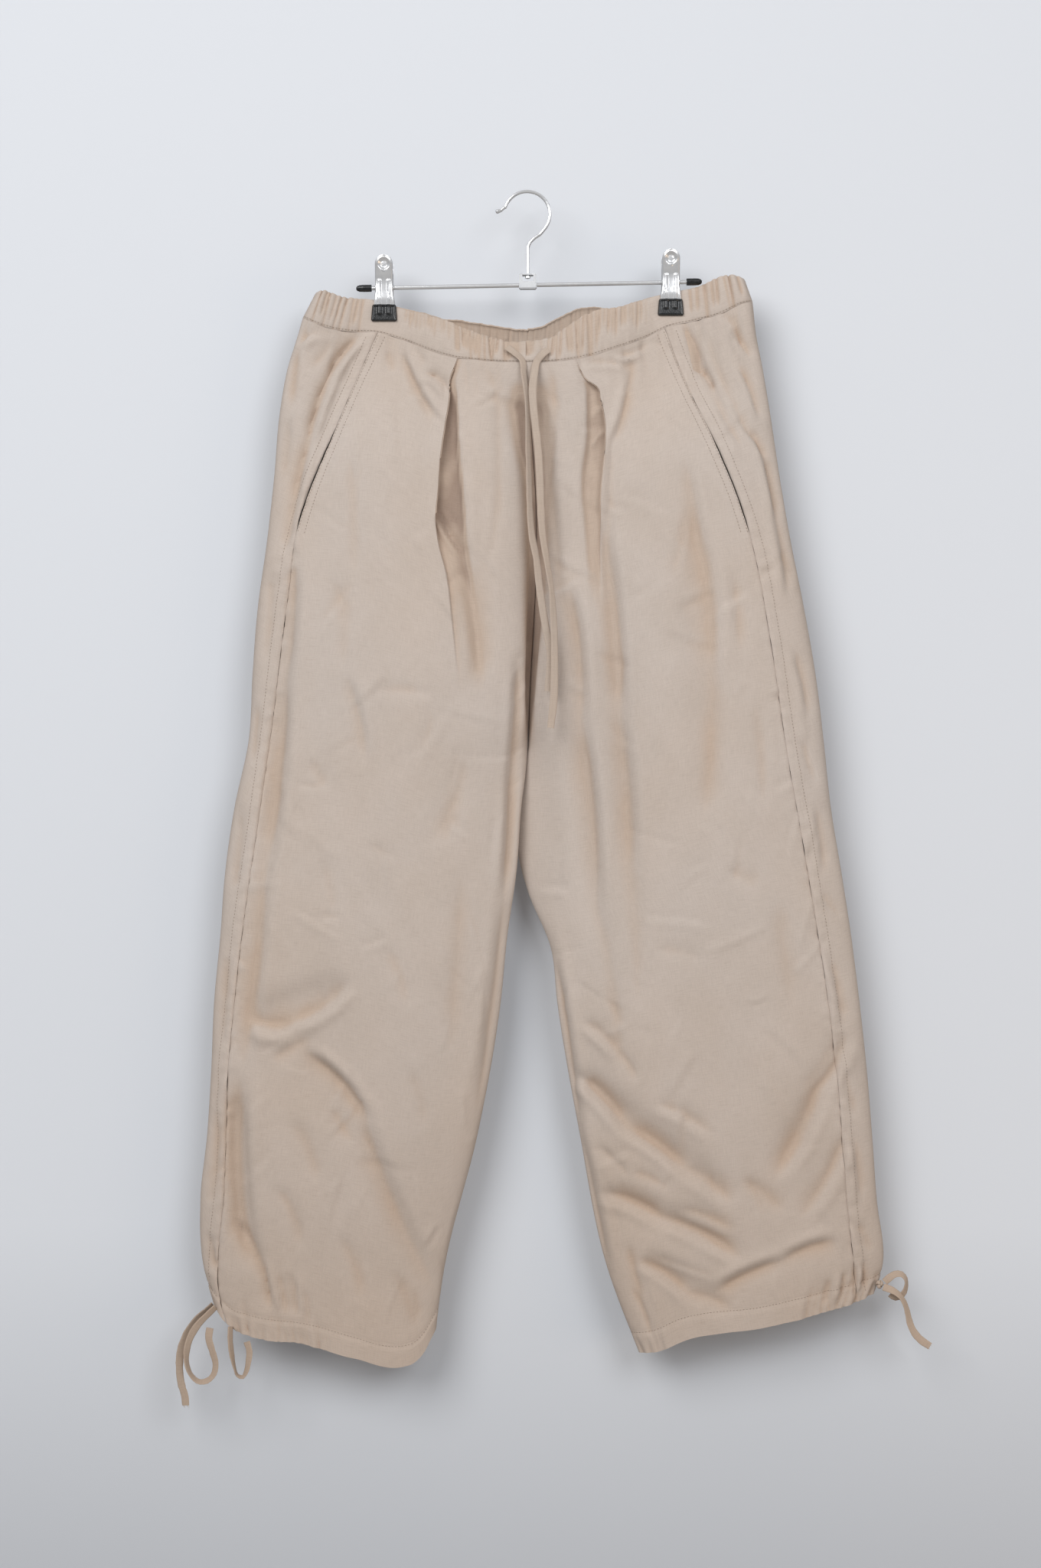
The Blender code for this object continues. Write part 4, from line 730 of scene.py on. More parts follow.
# Gathers of the waistband by place from the outer edge, 0, to the centre line, 1. reach is how far down from
# the top edge they run, 1 for the whole band.
RIGHT_GATHERS = (
    (0.030, 0.285, 9, 0.0024, 1.0),
    (0.465, 0.690, 13, 0.0014, 0.55),
    (0.690, 0.800, 7, 0.0020, 0.8),
    (0.800, 1.000, 11, 0.0024, 1.0),
)
LEFT_GATHERS = (
    (0.030, 0.285, 8, 0.0026, 1.0),
    (0.465, 0.700, 12, 0.0016, 0.6),
    (0.700, 0.820, 7, 0.0022, 0.9),
    (0.820, 1.000, 9, 0.0024, 1.0),
)
BACK_GATHERS = (
    (0.030, 0.280, 9, 0.0022, 1.0),
    (0.470, 0.740, 14, 0.0018, 0.9),
    (0.740, 1.000, 15, 0.0020, 0.9),
)

# Twist of each tape, by share of its length, in degrees from lying flat to the front
TWISTS = {
    "drawstring_right": ((0.0, 20), (0.10, 48), (0.25, 52), (0.45, 46), (0.60, 24), (0.75, 6), (1.0, -8)),
    "drawstring_left": ((0.0, -22), (0.10, -6), (0.30, 12), (0.48, 22), (0.62, 50), (0.78, 24), (1.0, 4)),
    "hem_tie_right_tail": ((0.0, 60), (0.3, 35), (0.6, 10), (1.0, -15)),
    "hem_tie_right_loop": ((0.0, 40), (0.25, 20), (0.5, 70), (0.75, 30), (1.0, 10)),
    "hem_tie_right_short_loop": ((0.0, 55), (0.3, 60), (0.5, 85), (0.75, 40), (1.0, 20)),
    "hem_tie_left_loop": ((0.0, 20), (0.3, 40), (0.5, 60), (0.75, 25), (1.0, 10)),
    "hem_tie_left_tail": ((0.0, 15), (0.3, 50), (0.6, 25), (1.0, 5)),
}


def smooth(low, high, value):
    """0 below low, 1 above high, and an S-curve between."""
    share = np.clip((value - low) / (high - low), 0.0, 1.0)
    return share * share * (3.0 - 2.0 * share)


def curve_of(rows, column, at):
    """A smooth curve through one column of a table whose first column runs evenly up or down."""
    table = np.array(rows, float)
    keys = table[:, 0]
    values = table[:, column]
    if keys[0] > keys[-1]:
        keys = keys[::-1]
        values = values[::-1]
    slopes = np.gradient(values, keys)
    at = np.clip(at, keys[0], keys[-1])
    index = np.clip(np.searchsorted(keys, at) - 1, 0, len(keys) - 2)
    span = keys[index + 1] - keys[index]
    t = (at - keys[index]) / span
    start = values[index] * (1 + 2 * t) * (1 - t) ** 2 + slopes[index] * span * t * (1 - t) ** 2
    end = values[index + 1] * t * t * (3 - 2 * t) + slopes[index + 1] * span * t * t * (t - 1)
    return start + end


class Side:
    """One side of the trousers. sign is -1 for the wearer's right and 1 for the left."""

    def __init__(self, name, sign, form, inseam, side_seam, waist_seam, band_top, hem):
        self.name = name
        self.sign = sign
        self.form = form
        self.inseam = inseam
        self.side_seam = side_seam
        self.waist_seam = waist_seam
        self.band_top = band_top
        self.hem = hem
        self.waist_reach = 1.0 - curve_of(form, 2, waist_seam[-1][1]) / curve_of(form, 1, waist_seam[-1][1])
        top = waist_seam[-1][1]
        self.crotch = (top - CROTCH_HEIGHT) / (top - hem[-1][1])


SIDES = (
    Side("right", -1, RIGHT_FORM, RIGHT_INSEAM, RIGHT_SIDE_SEAM, RIGHT_WAIST_SEAM, RIGHT_BAND_TOP, RIGHT_HEM),
    Side("left", 1, LEFT_FORM, LEFT_INSEAM, LEFT_SIDE_SEAM, LEFT_WAIST_SEAM, LEFT_BAND_TOP, LEFT_HEM),
)


def shut_of(side, turn, down):
    """0 where the back lies flat up to its centre seam, and 1 where the cloth turns in to meet its seam."""
    return np.where(turn < 0, 1.0, smooth(side.crotch - SEAT_TURN_IN, side.crotch - 0.02, down))


def share_of(side, turn, down):
    """How far from the outer edge to the centre a point lies. turn is -1 at the front's centre, 0 at the edge."""
    around = np.abs(turn)
    round_share = (1.0 - np.cos(math.pi * around)) / 2.0
    flat_share = 1.0 - np.cos(math.pi * around / 2.0)
    shut = shut_of(side, turn, down)
    return flat_share + (round_share - flat_share) * shut


def fold_relief(folds, x, z):
    """How far the folds press the face in at each point."""
    relief = np.zeros_like(x)
    for x0, z0, x1, z1, half_width, depth in folds:
        length2 = (x1 - x0) ** 2 + (z1 - z0) ** 2
        along = ((x - x0) * (x1 - x0) + (z - z0) * (z1 - z0)) / length2
        nearest = np.clip(along, 0.0, 1.0)
        away = np.hypot(x - x0 - nearest * (x1 - x0), z - z0 - nearest * (z1 - z0))
        taper = smooth(-0.15, 0.25, along) * smooth(-0.15, 0.35, 1.0 - along)
        relief += depth * taper * np.exp(-((away / half_width) ** 2))
    return relief


def height_of(side, turn, down):
    """Height of a point at down, 0 at the waist seam and 1 at the hem."""
    share = share_of(side, turn, down)
    top = curve_of(side.waist_seam, 1, share * side.waist_reach)
    hem = curve_of(side.hem, 1, share)
    back = smooth(0.0, 0.3, turn)
    lift = BACK_SEAM_LIFT * back * smooth(0.4, 1.0, share) * np.clip(1 - down / SEAT_LIFT_ENDS, 0, 1) ** 2
    return top + (hem - top) * down + lift


def waist_depth(turn, place):
    """y of the waist, which the clips pinch. place is 0 at the outer edge and 1 on the centre line."""
    edge = np.clip(place / BAND_EDGE_PLACE, 0, 1)
    edge = np.sqrt(edge * (2.0 - edge)) ** EDGE_POWER
    front = -edge * np.maximum(curve_of(FRONT_WAIST_DEPTH, 1, place), GRIPPED_DEPTH)
    back = edge * np.maximum(curve_of(BACK_WAIST_DEPTH, 1, place), GRIPPED_DEPTH)
    return np.where(turn < 0, front, back)


def point_on(side, turn, down):
    """Outer surface of one side, as arrays x, y and z."""
    turn, down = np.broadcast_arrays(np.asarray(turn, float), np.asarray(down, float))
    z = height_of(side, turn, down)
    share = share_of(side, turn, down)
    shut = shut_of(side, turn, down)
    around = np.abs(turn)
    front = turn < 0
    outer = curve_of(side.form, 1, z)
    inner = curve_of(side.form, 2, z)
    above = down <= side.crotch + 1e-9
    seam_front = side.sign * curve_of(CENTRE_FRONT, 1, z)
    seam_back = side.sign * curve_of(CENTRE_BACK, 1, z)
    seam_x = np.where(above, np.where(front, seam_front, seam_back), curve_of(side.inseam, 1, z))
    seam_front_y = curve_of(CENTRE_FRONT, 2, z)
    seam_back_y = curve_of(CENTRE_BACK, 2, z)
    seam_y = np.where(above, np.where(front, seam_front_y, seam_back_y), curve_of(side.inseam, 2, z))
    lobe = np.where(front | ~above, inner, seam_x)
    across = outer + (lobe - outer) * share
    across += (seam_x + SEAM_GAP * 0.7 - lobe) * smooth(LOBE_TURN, 1.0, around) ** 2
    face = np.where(front, -curve_of(side.form, 3, z), curve_of(side.form, 4, z))
    end = seam_y / face
    # The front's inner edges, on both sides of the fly, turn in more tightly than the outer ones.
    tight = np.where(front & (around > 0.5), 1.0 - smooth(0.9, 1.1, down / side.crotch), 0.0)
    bulge = np.sin(math.pi * np.clip(around, 0.0, 1.0)) ** (EDGE_POWER + (INNER_EDGE_POWER - EDGE_POWER) * tight)
    turned_in = np.where(around < 0.5, bulge, end + (1.0 - end) * bulge)
    rise = np.sin(math.pi / 2 * np.clip(around / 0.7, 0.0, 1.0)) ** EDGE_POWER
    flat = rise * (1.0 + (end - 1.0) * smooth(0.4, 1.0, around))
    leg = face * (flat + (turned_in - flat) * shut)
    blend = smooth(0.0, BAND_BLEND, down)
    y = waist_depth(turn, share * side.waist_reach) * (1.0 - blend) + leg * blend
    x = side.sign * across
    fade = smooth(0.02, 0.14, around) * smooth(0.0, 0.05, down) * (1.0 - smooth(0.86, 0.99, around))
    relief = np.where(front, fold_relief(FRONT_FOLDS, x, z), -fold_relief(BACK_FOLDS, x, z))
    y = y + relief * fade
    y = y + np.where(above, 0.0, np.where(front, -SEAM_GAP, SEAM_GAP) * 0.7 * smooth(0.97, 1.0, around))
    return x, y, z


def inward(side, turn, down):
    """Level unit vector from the outer surface into the garment."""
    step = 0.012
    ahead = np.clip(turn + step, -1.0, 1.0)
    behind = np.clip(turn - step, -1.0, 1.0)
    x1, y1, _ = point_on(side, ahead, down)
    x0, y0, _ = point_on(side, behind, down)
    tx = x1 - x0
    ty = y1 - y0
    length = np.hypot(tx, ty)
    nx = -side.sign * ty / length
    ny = side.sign * tx / length
    return nx, ny


def side_seam_turn(side, down):
    """The turn, below 0, at which the side seam lies at this distance down."""
    turn = np.full_like(down, -0.25)
    for _ in range(12):
        z = height_of(side, turn, down)
        outer = curve_of(side.form, 1, z)
        inner = curve_of(side.form, 2, z)
        seam = curve_of(side.side_seam, 1, z)
        share = np.clip((outer - seam) / (outer - inner), 0.001, 0.9)
        turn = 0.5 * turn - 0.5 * np.arccos(1.0 - 2.0 * share) / math.pi
    return turn


def even_rows(count):
    return np.linspace(0.0, 1.0, count)


def ripples(x, z, cell_x, cell_z, seed):
    """Gentle uneven waves from -1 to 1, whose size is set by the two cells."""
    lattice = np.random.default_rng(seed).uniform(-1.0, 1.0, (64, 64))
    u = x / cell_x + 31.0
    v = z / cell_z + 60.0
    iu = np.floor(u).astype(int)
    iv = np.floor(v).astype(int)
    fu = smooth(0.0, 1.0, u - iu)
    fv = smooth(0.0, 1.0, v - iv)
    low = lattice[iu % 64, iv % 64] * (1 - fu) + lattice[(iu + 1) % 64, iv % 64] * fu
    high = lattice[iu % 64, (iv + 1) % 64] * (1 - fu) + lattice[(iu + 1) % 64, (iv + 1) % 64] * fu
    return low * (1 - fv) + high * fv


def crease_relief(creases, x, z):
    """How far the creases press the cloth in at each point."""
    relief = np.zeros_like(x)
    for row in creases:
        x0, z0, x1, z1, bow, width, depth = (value * 0.001 for value in row[:7])
        lean = row[7]
        dx = x1 - x0
        dz = z1 - z0
        length = math.hypot(dx, dz)
        along = ((x - x0) * dx + (z - z0) * dz) / length**2
        across = ((z - z0) * dx - (x - x0) * dz) / length
        inside = np.clip(along, 0.0, 1.0)
        across = across - bow * 4.0 * inside * (1.0 - inside)
        taper = smooth(-0.12, 0.25, along) * smooth(-0.12, 0.30, 1.0 - along)
        away = across / (width * CREASE_SLIMNESS)
        steepness = np.where(away * lean > 0, CREASE_STEEP, CREASE_GENTLE) if lean else 1.1
        press = np.exp(-np.abs(away * steepness) ** 1.3)
        if lean:
            press = press - 0.50 * np.exp(-(((away - lean * 1.7) / 0.9) ** 2))
        relief += depth * taper * press
    return relief


def scattered_creases(seed, count):
    """Small uneven creases all over, which mostly run down the cloth or slant across it."""
    rng = np.random.default_rng(seed)
    rows = []
    for _ in range(count):
        x0 = rng.uniform(-300, 300)
        z0 = rng.uniform(-1040, -170)
        length = rng.uniform(18, 62)
        lean = rng.choice([-1, 0, 1])
        slant = rng.normal(0.0, 26.0) if rng.random() < 0.6 else rng.normal(62.0, 16.0) * rng.choice([-1, 1])
        angle = math.radians(slant)
        x1 = x0 + length * math.sin(angle)
        z1 = z0 - length * math.cos(angle)
        bow = rng.uniform(-2.5, 2.5)
        width = rng.uniform(2.4, 5.5)
        depth = rng.uniform(0.14, 0.60) * rng.choice([-1, 1])
        rows.append((x0, z0, x1, z1, bow, width, depth, lean))
    return rows


def pleat_fold(pleat, direction, x, z):
    """Sideways shift and relief of one pleat. direction is the way in x from its flap to what lies under it."""
    edge = curve_of(pleat, 1, z)
    far = curve_of(pleat, 2, z)
    depth = curve_of(pleat, 3, z)
    under = curve_of(pleat, 4, z) * PLEAT_UNDER_SCALE
    ends = smooth(pleat[-1][0] - 0.03, pleat[-1][0] + 0.01, z)
    away = (x - edge) * direction
    gap = np.maximum((far - edge) * direction, 0.0)
    fall = smooth(0.0, PLEAT_LIP, away)
    rise = smooth(gap - 0.001, gap + PLEAT_ROUNDING, away)
    strength = np.clip(depth / 0.0035, 0.0, 1.0) * ends
    lift = PLEAT_LIFT * strength * np.exp(np.minimum(away, 0.0) / 0.009) * (1.0 - fall)
    relief = depth * ends * fall * (1.0 - rise) - lift
    tuck = np.sin(math.pi * np.clip(away / (2.6 * PLEAT_LIP), 0.0, 1.0))
    return -direction * under * ends * tuck, relief


def pleat_focus(pleat, x, z):
    """How much closer the columns lie beside a pleat's edge."""
    strength = smooth(pleat[-1][0] - 0.02, pleat[-1][0] + 0.08, z)
    return 6.0 * strength * np.exp(-(((x - curve_of(pleat, 1, z)) / 0.0045) ** 2))


def spread_turns(side, downs, first, last, count, focus, pleat=None):
    """The turn of each column in each row, evenly along the cloth but closer at both edges and where focus says.

    One column runs along the pleat's edge, and below the pleat it keeps its share of the way.
    """
    samples = np.linspace(0.0, 1.0, 420)
    turns = first[:, None] + (last - first)[:, None] * samples
    x, y, z = point_on(side, turns, np.repeat(downs[:, None], len(samples), axis=1))
    steps = np.hypot(np.diff(x, axis=1), np.diff(y, axis=1))
    plain = np.cumsum(steps, axis=1)
    to_edge = np.minimum(plain, plain[:, -1:] - plain)
    weight = 1.0 + 1.6 * np.exp(-((to_edge / 0.005) ** 2)) + focus(x[:, 1:], z[:, 1:])
    lengths = np.concatenate([np.zeros((len(downs), 1)), np.cumsum(steps * weight, axis=1)], axis=1)
    share = None
    rows = []
    for row, length in enumerate(lengths):
        if pleat is None:
            places = np.linspace(0.0, length[-1], count)
        else:
            past = np.abs(x[row]) - np.abs(curve_of(pleat, 1, z[row]))
            if share is None or z[row].mean() > pleat[-1][0]:
                share = np.interp(0.0, past, length) / length[-1]
            before = int(count * PLEAT_COLUMN_SHARE)
            first_part = np.linspace(0.0, share * length[-1], before, endpoint=False)
            places = np.concatenate([first_part, np.linspace(share * length[-1], length[-1], count - before)])
        rows.append(np.interp(places, length, turns[row]))
    return np.array(rows)


def inward_normals(points, guess):
    """Unit vectors square to a grid of points, on the side that guess points to."""
    across = np.gradient(points, axis=1)
    down = np.gradient(points, axis=0)
    normals = np.cross(across, down)
    normals /= np.maximum(np.linalg.norm(normals, axis=2, keepdims=True), 1e-12)
    flip = np.sum(normals * guess, axis=2, keepdims=True) < 0
    return np.where(flip, -normals, normals)


def wall_mesh(name, outside, inside, folds, inward_guess, material):
    """A closed thin wall between two grids of points, with its cloth co-ordinates and how deep in a fold it lies, which
    sets its painted shade.
    """
    rows, columns = outside.shape[:2]
    count = rows * columns
    index = np.arange(count).reshape(rows, columns)
    a, b = index[:-1, :-1].ravel(), index[:-1, 1:].ravel()
    c, d = index[1:, 1:].ravel(), index[1:, :-1].ravel()
    outer = np.stack([a, b, c, d], axis=1)
    inner = np.stack([a, d, c, b], axis=1) + count
    rims = []
    for edge, way in ((index[0], -1), (index[-1], 1), (index[:, 0], 1), (index[:, -1], -1)):
        p, q = edge[:-1], edge[1:]
        quad = np.stack([p, q, q + count, p + count], axis=1)
        rims.append(quad[:, ::way])
    faces = np.concatenate([outer, inner, *rims])
    middle = (rows // 2, columns // 2)
    here = outside[middle]
    normal = np.cross(outside[middle[0], middle[1] + 1] - here, outside[middle[0] + 1, middle[1]] - here)
    if np.dot(normal, inward_guess[middle]) > 0:
        faces = faces[:, ::-1]
    mesh = bpy.data.meshes.new(name)
    vertices = np.concatenate([outside.reshape(-1, 3), inside.reshape(-1, 3)])
    mesh.from_pydata(vertices.tolist(), [], faces.tolist())
    across = np.linalg.norm(np.diff(outside, axis=1), axis=2)
    u = np.concatenate([np.zeros((rows, 1)), np.cumsum(across, axis=1)], axis=1)
    u -= u[:, columns // 2][:, None]
    along = np.linalg.norm(np.diff(outside, axis=0), axis=2).mean(axis=1)
    v = np.repeat(np.concatenate([[0.0], np.cumsum(along)])[:, None], columns, axis=1)
    cloth = np.stack([u, v], axis=2).reshape(-1, 2)
    cloth = np.concatenate([cloth, cloth + 0.37])
    layer = mesh.uv_layers.new(name="cloth")
    corners = np.zeros(len(mesh.loops), int)
    mesh.loops.foreach_get("vertex_index", corners)
    layer.data.foreach_set("uv", cloth[corners].ravel().astype(np.float32))
    attribute = mesh.attributes.new("fold", "FLOAT", "POINT")
    # The inner face gets a fixed amount of painted shade
    values = np.concatenate([folds.ravel(), np.full(count, 0.6)])
    attribute.data.foreach_set("value", values.astype(np.float32))
    mesh.materials.append(material)
    mesh.shade_smooth()
    mesh.set_sharp_from_angle(angle=math.radians(70.0))
    obj = bpy.data.objects.new(name, mesh)
    bpy.context.scene.collection.objects.link(obj)
    return obj


def seam_pull(outside, seam_column, neighbour):
    """Draws a side seam's edge back by half its gap, which opens at the pocket."""
    height = outside[:, seam_column, 2]
    pocket = smooth(POCKET_TOP + 0.004, POCKET_TOP - 0.030, height)
    pocket *= smooth(POCKET_BOTTOM - 0.002, POCKET_BOTTOM + 0.020, height)
    along = outside[:, neighbour] - outside[:, seam_column]
    along[:, 2] = 0.0
    along /= np.linalg.norm(along, axis=1)[:, None]
    return along * (SEAM_GAP * 0.6 + POCKET_GAP / 2 * pocket)[:, None], pocket


def cloth_panel(name, side, front, material):
    """One front or back panel: its section from the tables, then pleat, creases, seams and hem."""
    downs = even_rows(CLOTH_ROWS if front else BACK_ROWS)
    seam = side_seam_turn(side, downs)
    pleat, direction = (PLEAT_RIGHT, 1.0) if side.sign < 0 else (PLEAT_LEFT, -1.0)
    if front:
        first, last, columns = np.full_like(downs, -1.0), seam, FRONT_GRID_COLUMNS
        creases = FRONT_RIGHT_CREASES + RIGHT_STRIP_CREASES if side.sign < 0 else FRONT_LEFT_CREASES + LEFT_STRIP_CREASES
    else:
        first, last, columns = seam, np.full_like(downs, 1.0), BACK_GRID_COLUMNS
        creases = BACK_RIGHT_CREASES if side.sign < 0 else BACK_LEFT_CREASES
    strip = RIGHT_STRIP_CREASES + FRONT_RIGHT_CREASES if side.sign < 0 else LEFT_STRIP_CREASES + FRONT_LEFT_CREASES

    def focus(x, z):
        return pleat_focus(pleat, x, z) if front else 0.0 * x

    turns = spread_turns(side, downs, first, last, columns, focus, pleat if front else None)
    down = np.repeat(downs[:, None], columns, axis=1)
    x, y, z = point_on(side, turns, down)
    nx, ny = inward(side, turns, down)
    guess = np.stack([nx, ny, np.zeros_like(nx)], axis=2)
    around = np.abs(turns)
    on_front = turns < 0
    seed = 11 if side.sign < 0 else 12
    small = scattered_creases(seed if front else seed + 10, SCATTERED)
    relief = crease_relief(creases, x, z)
    if not front:
        wrapped = crease_relief(strip, x, z)
        relief = np.where(on_front, wrapped, relief)
    fine = crease_relief(small, x, z)
    waves = 0.0007 * ripples(x, z, 0.045, 0.090, seed) + 0.0003 * ripples(x, z, 0.016, 0.034, seed + 30)
    rounded = smooth(0.015, 0.10, around)
    ends = 1.0 - smooth(0.90, 0.995, around)
    at_waist = 0.25 + 0.75 * smooth(0.0, 0.022, down)
    relief = (CREASE_SCALE * relief + FINE_SCALE * fine + waves) * rounded * ends * at_waist
    shift = np.zeros_like(x)
    if front:
        pleat_shift, pleat_relief = pleat_fold(pleat, direction, x, z)
        shift = pleat_shift
        relief = relief + pleat_relief
    # Puckers where the cloth is sewn to the gathered band
    place = share_of(side, turns, down) * side.waist_reach
    pucker = ripples(place * 0.2, z, 0.0055, 0.060, seed + 50)
    relief = relief + 0.0017 * pucker * smooth(0.055, 0.0, down) * smooth(0.03, 0.10, around) * ends
    hem_line = curve_of(side.hem, 1, share_of(side, turns, down))
    above_hem = z - hem_line
    # Hem: the folded edge stands out, dips at its stitches and is gathered near the ties
    gathered = hem_gathers(side, share_of(side, turns, down), above_hem)
    relief = relief - 0.0006 * smooth(HEM_CHANNEL + 0.001, HEM_CHANNEL - 0.002, above_hem)
    relief = relief + 0.0007 * np.exp(-(((above_hem - HEM_CHANNEL) / 0.0016) ** 2)) + gathered * ends
    across = np.stack([x, y], axis=2)
    lengths = np.concatenate(
        [np.zeros((len(downs), 1)), np.cumsum(np.linalg.norm(np.diff(across, axis=1), axis=2), axis=1)], axis=1
    )
    to_side_seam = lengths[:, -1:] - lengths if front else lengths
    to_inner_seam = lengths if front else lengths[:, -1:] - lengths
    relief = relief + 0.0009 * np.exp(-((to_side_seam / 0.0011) ** 2))
    if not front:
        allowance = smooth(0.0105, 0.0085, to_side_seam) * (1 - 0.5 * smooth(0.0015, 0.0, to_side_seam))
        relief = relief - 0.0005 * allowance + 0.0004 * np.exp(-(((to_side_seam - 0.0088) / 0.0010) ** 2))
        ticks = ripples(z, to_side_seam, 0.0045, 0.012, seed + 70)
        relief = relief + 0.00060 * ticks * smooth(0.020, 0.004, to_side_seam)
    else:
        ticks = ripples(z, to_side_seam, 0.0060, 0.012, seed + 71)
        relief = relief + 0.00055 * ticks * smooth(0.014, 0.002, to_side_seam)
    relief = relief + 0.0006 * np.exp(-((to_inner_seam / 0.0012) ** 2)) * (1.0 - smooth(0.5, 1.0, ends))
    if front:
        # The valley down the centre front opens between the two full lobes
        valley = smooth(0.012, 0.050, down) * smooth(CROTCH_HEIGHT - 0.02, CROTCH_HEIGHT + 0.08, z)
        relief = relief + VALLEY_WIDENING * valley * np.exp(-(((to_inner_seam - VALLEY_PLACE) / VALLEY_SPREAD) ** 2))
    relief = relief * smooth(0.0, SEAM_HOLD, to_inner_seam)
    outside = np.stack([x + shift + nx * relief, y + ny * relief, z], axis=2)
    # The folded edge of the hem isn't quite level
    outside[:, :, 2] += smooth(0.030, 0.0, above_hem) * 0.0009 * ripples(x, z * 0, 0.021, 1.0, seed + 80)
    column, neighbour = (-1, -2) if front else (0, 1)
    pull, pocket = seam_pull(outside, column, neighbour)
    outside[:, column] += pull
    if front:
        outside[:, -1, 1] -= 0.0011 * pocket
        outside[:, -2, 1] -= 0.0009 * pocket
        outside[:, -3, 1] -= 0.0005 * pocket
    else:
        outside[:, 0, 1] += 0.0012 * pocket
        outside[:, 1, 1] += 0.0006 * pocket
    normals = inward_normals(outside, guess)
    inside = outside + normals * PANEL_WALL
    outside[0, :, 2] -= WAIST_GAP / 2
    inside[0, :, 2] -= WAIST_GAP / 2
    # How deep each point lies in a fold, a pleat or the centre valley, which sets its painted shade
    folds = relief / 0.0070
    if front:
        folds = folds + PLEAT_SHADE[side.name] * pleat_relief / 0.0070 + VALLEY_SHADE * valley * smooth(0.019, 0.007, to_inner_seam)
    folds = np.clip(folds, -0.3, 2.0)
    obj = wall_mesh(f"{name}_cloth", outside, inside, folds, guess, material)
    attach(obj, "root")
    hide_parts(name)
    return obj, outside, -normals, to_side_seam, above_hem


def hem_gathers(side, share, above_hem):
    """Upright folds where the tie draws the hem in, near the outer edge of each leg and at the inner end."""
    zones = HEM_GATHERS[side.name]
    rng = np.random.default_rng(5 if side.sign < 0 else 6)
    relief = np.zeros_like(share)
    for start, stop, count, depth, height in zones:
        for index in range(count):
            place = start + (stop - start) * (index + 0.5 + rng.uniform(-0.25, 0.25)) / count
            width = 0.30 * (stop - start) / count * rng.uniform(0.8, 1.2)
            drift = rng.uniform(-0.012, 0.012)
            reach = height * rng.uniform(0.6, 1.2)
            away = (share - place - drift * above_hem / reach) / width
            relief += depth * rng.uniform(0.6, 1.2) * np.exp(-np.abs(away) ** 1.4) * smooth(reach, 0.0, above_hem)
    return relief


def gather_table(seed, zones):
    """The place, depth, reach, width and slant of each gather of the band."""
    rng = np.random.default_rng(seed)
    rows = []
    for start, stop, count, depth, reach in zones:
        for index in range(count):
            place = start + (stop - start) * (index + 0.5 + rng.uniform(-0.28, 0.28)) / count
            rows.append(
                (
                    place,
                    depth * rng.uniform(0.55, 1.25),
                    min(1.0, reach * rng.uniform(0.7, 1.3)),
                    rng.uniform(0.0062, 0.0100),
                    rng.uniform(-0.012, 0.012),
                )
            )
    return rows


def band_surface(side, turns, up, gathers):
    """Outer surface of one half of the waistband, and how deep in a gather each point lies, which sets its painted
    shade.
    """
    seam = np.zeros_like(turns)
    place = share_of(side, turns, seam) * side.waist_reach
    front = turns < 0
    x, y, z = point_on(side, turns, seam)
    x = x - side.sign * SEAM_GAP * 0.7 * smooth(0.97, 1.0, np.abs(turns))
    top = curve_of(side.band_top, 1, place) + np.where(front, 0.0, curve_of(BACK_BAND_RISE, 1, place))
    lean = 1.0 + (BAND_SIDE_LEAN[side.name] - 1.0) * (1.0 - place) ** 2 * up
    free = smooth(CLIP_GRIP_WIDTH * 0.6, CLIP_GRIP_WIDTH * 1.1, np.abs(place - CLIP_PLACE))
    edge = smooth(0.02, 0.10, np.abs(turns))
    pinch = np.zeros_like(x)
    for centre, depth, reach, width, slant in gathers:
        away = np.abs(place - centre - slant * (1.0 - up)) / width
        down_to = smooth(1.0 - reach - 0.12, 1.0 - reach + 0.25, up) if reach < 0.95 else 0.55 + 0.45 * up
        pinch += depth * np.exp(-(away**1.15)) * down_to
    pinch = pinch * free * edge
    puff = 0.0016 * np.sin(math.pi * np.clip(up, 0, 1)) ** 0.7 * free * edge
    roll = 0.0010 * smooth(0.90, 1.0, up) ** 2
    crimp = 0.0004 * ripples(place * 0.2, up * 0.03, 0.0032, 0.02, 90 if side.sign < 0 else 91) * free * edge
    seam_dip = 0.0007 * np.exp(-((up * 0.030 / 0.0014) ** 2))
    press = pinch + roll + crimp + seam_dip - puff
    limit = np.maximum(np.abs(y) - 0.0012, 0.0)
    press = np.minimum(press, limit)
    y = y * (1.0 - 0.12 * up * free) + np.where(front, 1.0, -1.0) * press
    z = z + WAIST_GAP / 2 + (top - z) * up
    z = z - 0.45 * pinch * up**3 + 0.0004 * up * free * ripples(place, up, 0.02, 9.0, 33)
    return np.stack([x * lean, y, z], axis=2), np.clip(pinch / 0.0024, 0.0, 1.0)


